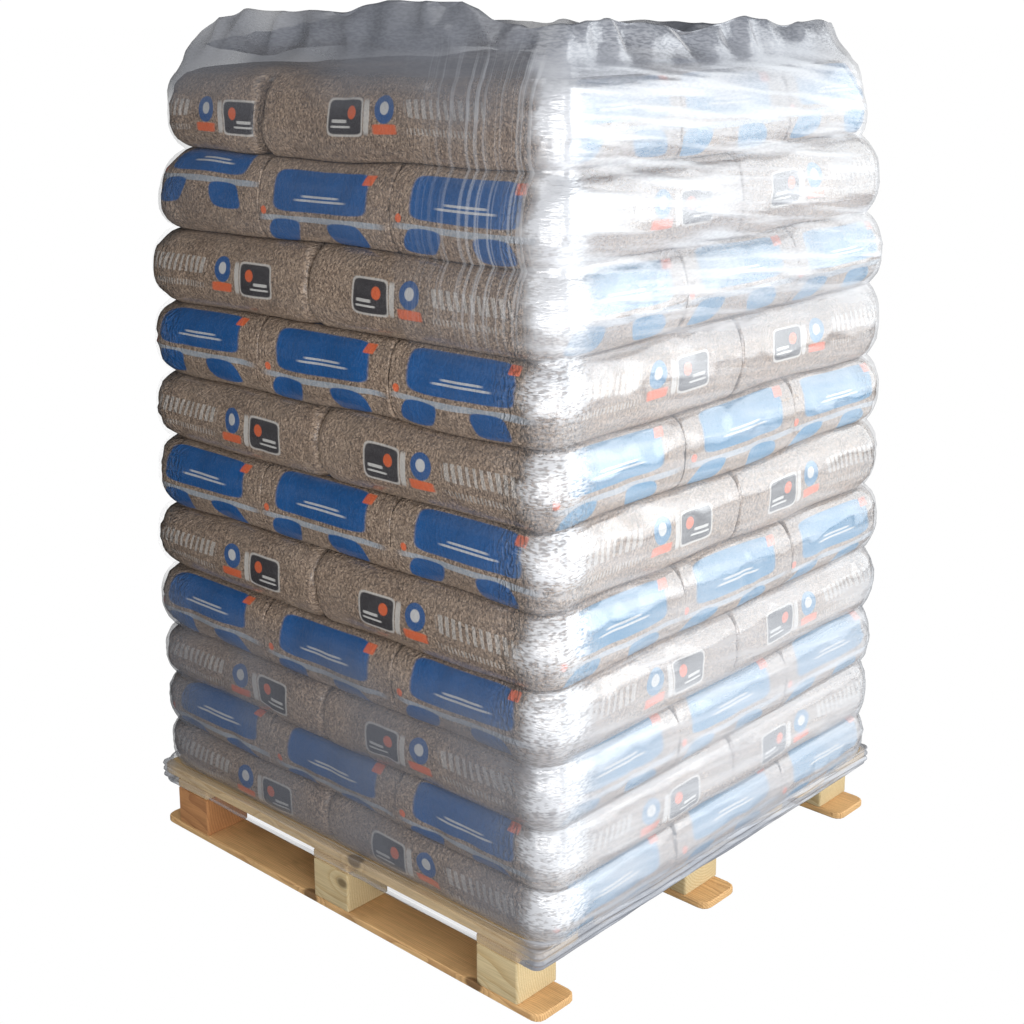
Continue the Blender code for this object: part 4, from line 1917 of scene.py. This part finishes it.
    def hem(self, material: bpy.types.Material) -> bpy.types.Object:
        """The lower film: over the deck edge, with rolled folds along its foot.

        A profile of height and reach runs round the deck. Rolls are a sine of the height with a
        wandering phase, and the foot is tucked in on the two ends.

        Args:
            material: the lower edge's film finish.

        Returns:
            The piece.
        """
        run = np.linspace(0.0, 1.0, self.hem_rows)
        shares, levels, reaches = np.array(self.hem_profile).T
        level = np.interp(run, shares, levels)
        out = np.interp(run, shares, reaches)
        radius = np.interp(run, [0.0, 0.75, 1.0], [0.016, 0.016, 0.060])
        half_x = self.deck_half + out
        drawn = np.where(run < 0.75, 0.0, self.hem_inset * (run - 0.75) / 0.25)
        half_y = self.deck_half + out - drawn
        plan = self.outline(half_x, half_y, [radius] * 4)
        z = np.broadcast_to(level[:, None], plan.shape[:2])
        grid = np.concatenate([plan, z[..., None]], axis=2)
        side_x = smooth(np.abs(grid[..., 0]), *self.right_zone)
        phase = 34 * run[:, None] + 1.6 * waves(plan, 51, 0.3, 1.0, 6)
        rope = (0.0014 + 0.0008 * side_x) * np.sin(phase)
        tucked = 0.030 * side_x * smooth(1 - run, 0.70, 1.0)[:, None]
        ripple = 0.0012 * (1 - 0.7 * side_x) * waves(grid, 52, 0.04, 0.2)
        grid = grid + grid_normals(grid) * (rope + ripple)[..., None]
        grid[..., 0] -= np.sign(grid[..., 0]) * tucked
        numbers = {
            "haze": 0.16 + 0.50 * side_x + 0.04 * np.sin(phase),
            "across": 0.2 + 0.15 * side_x,
            "upright": np.zeros_like(side_x),
            "crumple": 0.02 * (1 - side_x),
            # Painted glare on the two ends of the lower edge along X.
            "pale": 0.12 * side_x,
        }
        return self.finish_piece("wrap_hem", grid, numbers, material)

    def build(
        self, body: bpy.types.Material, top: bpy.types.Material, hem: bpy.types.Material
    ) -> None:
        """Builds the body, the loose top and the lower edge, each in its own finish.

        Args:
            body: finish of the walls.
            top: finish of the loose top.
            hem: finish of the lower edge.
        """
        self.body(body)
        self.top(top)
        self.hem(hem)


# The pallet


@dataclass
class Pallet:
    """The wooden pallet: its CAD nodes keep their shape and get timber finishes.

    Attributes:
        skids: finish of the skids.
        blocks: finish of the blocks.
        boards: finish of the deck boards.
        stringers: finish of the stringers.
        reddish_block: finish of the one block that is darker and more orange than the others.
        prefixes: the finish by the start of a node's name, the first that fits.
    """

    skids: TimberFinish = TimberFinish(
        "skid_timber",
        light=(0.82, 0.52, 0.24),
        dark=(0.50, 0.26, 0.11),
        ring_width=0.0045,
        pith=(0.0, 0.02, 0.06),
        dirt=0.30,
    )
    blocks: TimberFinish = TimberFinish(
        "block_timber",
        light=(0.62, 0.50, 0.29),
        dark=(0.46, 0.31, 0.14),
        ring_width=0.006,
        pith=(0.0, 0.03, 0.11),
        dirt=0.12,
    )
    boards: TimberFinish = TimberFinish(
        "board_timber",
        light=(0.60, 0.44, 0.24),
        dark=(0.42, 0.27, 0.12),
        ring_width=0.005,
        pith=(0.0, 0.02, 0.20),
        dirt=0.22,
    )
    stringers: TimberFinish = TimberFinish(
        "stringer_timber",
        light=(0.58, 0.42, 0.23),
        dark=(0.40, 0.25, 0.11),
        grain_axis="Y",
        ring_width=0.005,
        pith=(0.0, 0.02, 0.05),
        dirt=0.25,
    )
    # One block is darker and more orange than the others.
    reddish_block: TimberFinish = TimberFinish(
        "reddish_block_timber",
        light=(0.52, 0.25, 0.10),
        dark=(0.32, 0.135, 0.055),
        ring_width=0.006,
        pith=(0.0, 0.03, 0.11),
        dirt=0.30,
    )
    prefixes: dict[str, str] = field(
        default_factory=lambda: {
            "block_front_left": "reddish_block",
            "block_": "blocks",
            "skid_": "skids",
            "deck_board_": "boards",
            "stringer_": "stringers",
        }
    )

    def dress(self, shared: SharedGroups) -> None:
        """Gives each timber node the finish of its kind.

        Args:
            shared: the shared node groups.
        """
        finishes = {kind: getattr(self, kind).build(shared) for kind in self.prefixes.values()}
        for name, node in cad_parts.items():
            kinds = [kind for prefix, kind in self.prefixes.items() if name.startswith(prefix)]
            if kinds:
                for place in range(len(node.material_slots)):
                    node.material_slots[place].material = finishes[kinds[0]]
                LOG.info("%s: %s", name, finishes[kinds[0]].name)


# The studio


@dataclass(frozen=True)
class SoftLight:
    """One large area light: its place, target, size, radiant power and colour.

    Attributes:
        name: name of the light.
        place: where it is.
        target: the point that it faces.
        size: width and height.
        power: radiant power.
        colour: colour of the light.
    """

    name: str
    place: tuple[float, float, float]
    target: tuple[float, float, float]
    size: tuple[float, float]
    power: float
    colour: Colour = (1.0, 1.0, 1.0)


@dataclass
class Studio:
    """Camera, lights, world and floor.

    Attributes:
        place: place of the camera.
        yaw: turn of the camera from +Y towards +X.
        pitch: how far it looks down.
        roll: turn round its own axis.
        lens: focal length in millimetres.
        shift_y: vertical shift of the picture.
        ambient: light that the world gives.
        glossy: what mirrors see of it.
        backdrop: what the camera sees of it.
        floor_half: half size of the floor.
        lights: the area lights.
    """

    place: tuple[float, float, float] = (2.2881, -2.4995, 1.7903)
    yaw: float = -0.7451
    pitch: float = 0.2283
    roll: float = -0.0022
    lens: float = 56.43
    shift_y: float = -0.1201
    ambient: float = 0.16
    glossy: float = 0.02
    backdrop: float = 1.02
    floor_half: float = 300.0
    lights: tuple[SoftLight, ...] = (
        SoftLight("window_light", (3.1, 3.6, 1.95), (0.57, 0.0, 0.95), (4.6, 3.7), 165.0, DAYLIGHT),
        SoftLight(
            "glare_light", (2.75, 1.55, 1.9), (0.57, -0.5, 1.1), (1.0, 2.6), 19.0, PALE_DAYLIGHT
        ),
        SoftLight("rear_light", (-0.6, 5.4, 1.7), (0.4, 0.5, 0.9), (4.2, 3.4), 44.0),
        SoftLight("corner_light", (3.6, -0.55, 1.35), (0.57, -0.5, 0.95), (0.35, 2.6), 26.0),
        SoftLight("side_light", (3.2, -1.9, 1.3), (0.55, -0.5, 0.9), (1.7, 2.6), 60.0),
        SoftLight("ground_light", (2.0, 1.5, 0.03), (1.98, 1.5, 1.5), (4.2, 2.5), 46.0, DAYLIGHT),
        SoftLight("strip_light", (1.62, -2.85, 1.1), (0.55, -0.5, 0.95), (1.7, 0.7), 26.0),
        SoftLight("top_light", (-0.5, -1.5, 5.0), (0.0, 0.0, 0.8), (3.0, 3.0), 50.0, SOFT_WHITE),
    )

    def camera(self) -> bpy.types.Object:
        """Places the camera at the photograph's viewing angle.

        Its right and up axes follow from yaw, pitch and roll.

        Returns:
            The camera, set as the scene's own.
        """
        data = bpy.data.cameras.new("camera")
        data.lens = self.lens
        data.sensor_width = 36.0
        data.shift_y = self.shift_y
        data.clip_end = 1000.0
        made = bpy.data.objects.new("camera", data)
        bpy.context.scene.collection.objects.link(made)
        forward = np.array([
            math.sin(self.yaw) * math.cos(self.pitch),
            math.cos(self.yaw) * math.cos(self.pitch),
            -math.sin(self.pitch),
        ])
        right = np.array([math.cos(self.yaw), -math.sin(self.yaw), 0.0])
        up = np.cross(right, forward)
        turned_right = right * math.cos(self.roll) + up * math.sin(self.roll)
        turned_up = up * math.cos(self.roll) - right * math.sin(self.roll)
        columns = np.column_stack([turned_right, turned_up, -forward])
        pose = np.eye(4)
        pose[:3, :3] = columns
        pose[:3, 3] = self.place
        made.matrix_world = Matrix(pose.tolist())
        bpy.context.scene.camera = made
        return made

    def light(self, soft: SoftLight) -> bpy.types.Object:
        """Adds one area light aimed at its target.

        It faces its target, and its own Y axis stands as upright as that allows.

        Args:
            soft: the light to add.

        Returns:
            The light, unseen by the camera.
        """
        data = bpy.data.lights.new(soft.name, "AREA")
        data.shape = "RECTANGLE"
        data.size, data.size_y = soft.size
        data.energy = soft.power
        data.color = soft.colour
        made = bpy.data.objects.new(soft.name, data)
        made.visible_camera = False
        bpy.context.scene.collection.objects.link(made)
        back = np.array(soft.place) - np.array(soft.target)
        back = back / np.linalg.norm(back)
        side = np.cross([0.0, 0.0, 1.0], back)
        side = side / np.linalg.norm(side)
        pose = np.eye(4)
        pose[:3, :3] = np.column_stack([side, np.cross(back, side), back])
        pose[:3, 3] = soft.place
        made.matrix_world = Matrix(pose.tolist())
        return made

    def world(self) -> None:
        """White world: full for the camera, softer as light."""
        world = bpy.data.worlds.new("studio_world")
        bpy.context.scene.world = world
        world.use_nodes = True
        world.cycles.sampling_method = "NONE"
        graph = Graph(world.node_tree)
        background = world.node_tree.nodes["Background"]
        path = graph.node("ShaderNodeLightPath")
        strength = self.ambient
        for ray, level in (("Is Camera Ray", self.backdrop), ("Is Glossy Ray", self.glossy)):
            more = level - self.ambient
            strength = graph.math("MULTIPLY_ADD", path.outputs[ray], more, strength)
        graph.feed(background.inputs["Strength"], strength)
        background.inputs["Color"].default_value = (1.0, 1.0, 1.0, 1.0)

    def floor(self) -> bpy.types.Object:
        """Adds the white floor at Z = 0, a grid of 4 by 4 squares.

        Returns:
            The floor.
        """
        half = self.floor_half
        steps = np.linspace(-half, half, 5)
        x, y = np.meshgrid(steps, steps, indexing="xy")
        points = np.stack([x.ravel(), y.ravel(), np.zeros(x.size)], -1)
        index = np.arange(25).reshape(5, 5)
        corners = (index[:-1, :-1], index[:-1, 1:], index[1:, 1:], index[1:, :-1])
        quads = np.stack(corners, -1).reshape(-1, 4)
        made = build_mesh("studio_floor", points, quads, np.zeros((0, 3), int))
        made.data.materials.append(FloorFinish().build())
        return made

    def build(self) -> None:
        """Sets up the whole studio."""
        self.camera()
        for soft in self.lights:
            self.light(soft)
        self.world()
        self.floor()
        bpy.context.scene.view_settings.view_transform = "Standard"


def main() -> None:
    """Builds the studio, dresses the pallet, and stacks and wraps the sacks."""
    logging.basicConfig(level=logging.INFO, format="%(name)s %(message)s")
    shared = SharedGroups.build()
    Studio().build()
    Pallet().dress(shared)
    shape = LoadShape()
    SackStack(shape).build(SackFinish().build(shared))
    body = FilmFinish("stretch_film_body").build(shared)
    top = FilmFinish("stretch_film_top", ior=1.55).build(shared)
    hem = FilmFinish("stretch_film_hem", across=(1.2, 1.2, 120.0), ior=1.5).build(shared)
    StretchWrap(shape).build(body, top, hem)


if __name__ == "__main__":
    main()
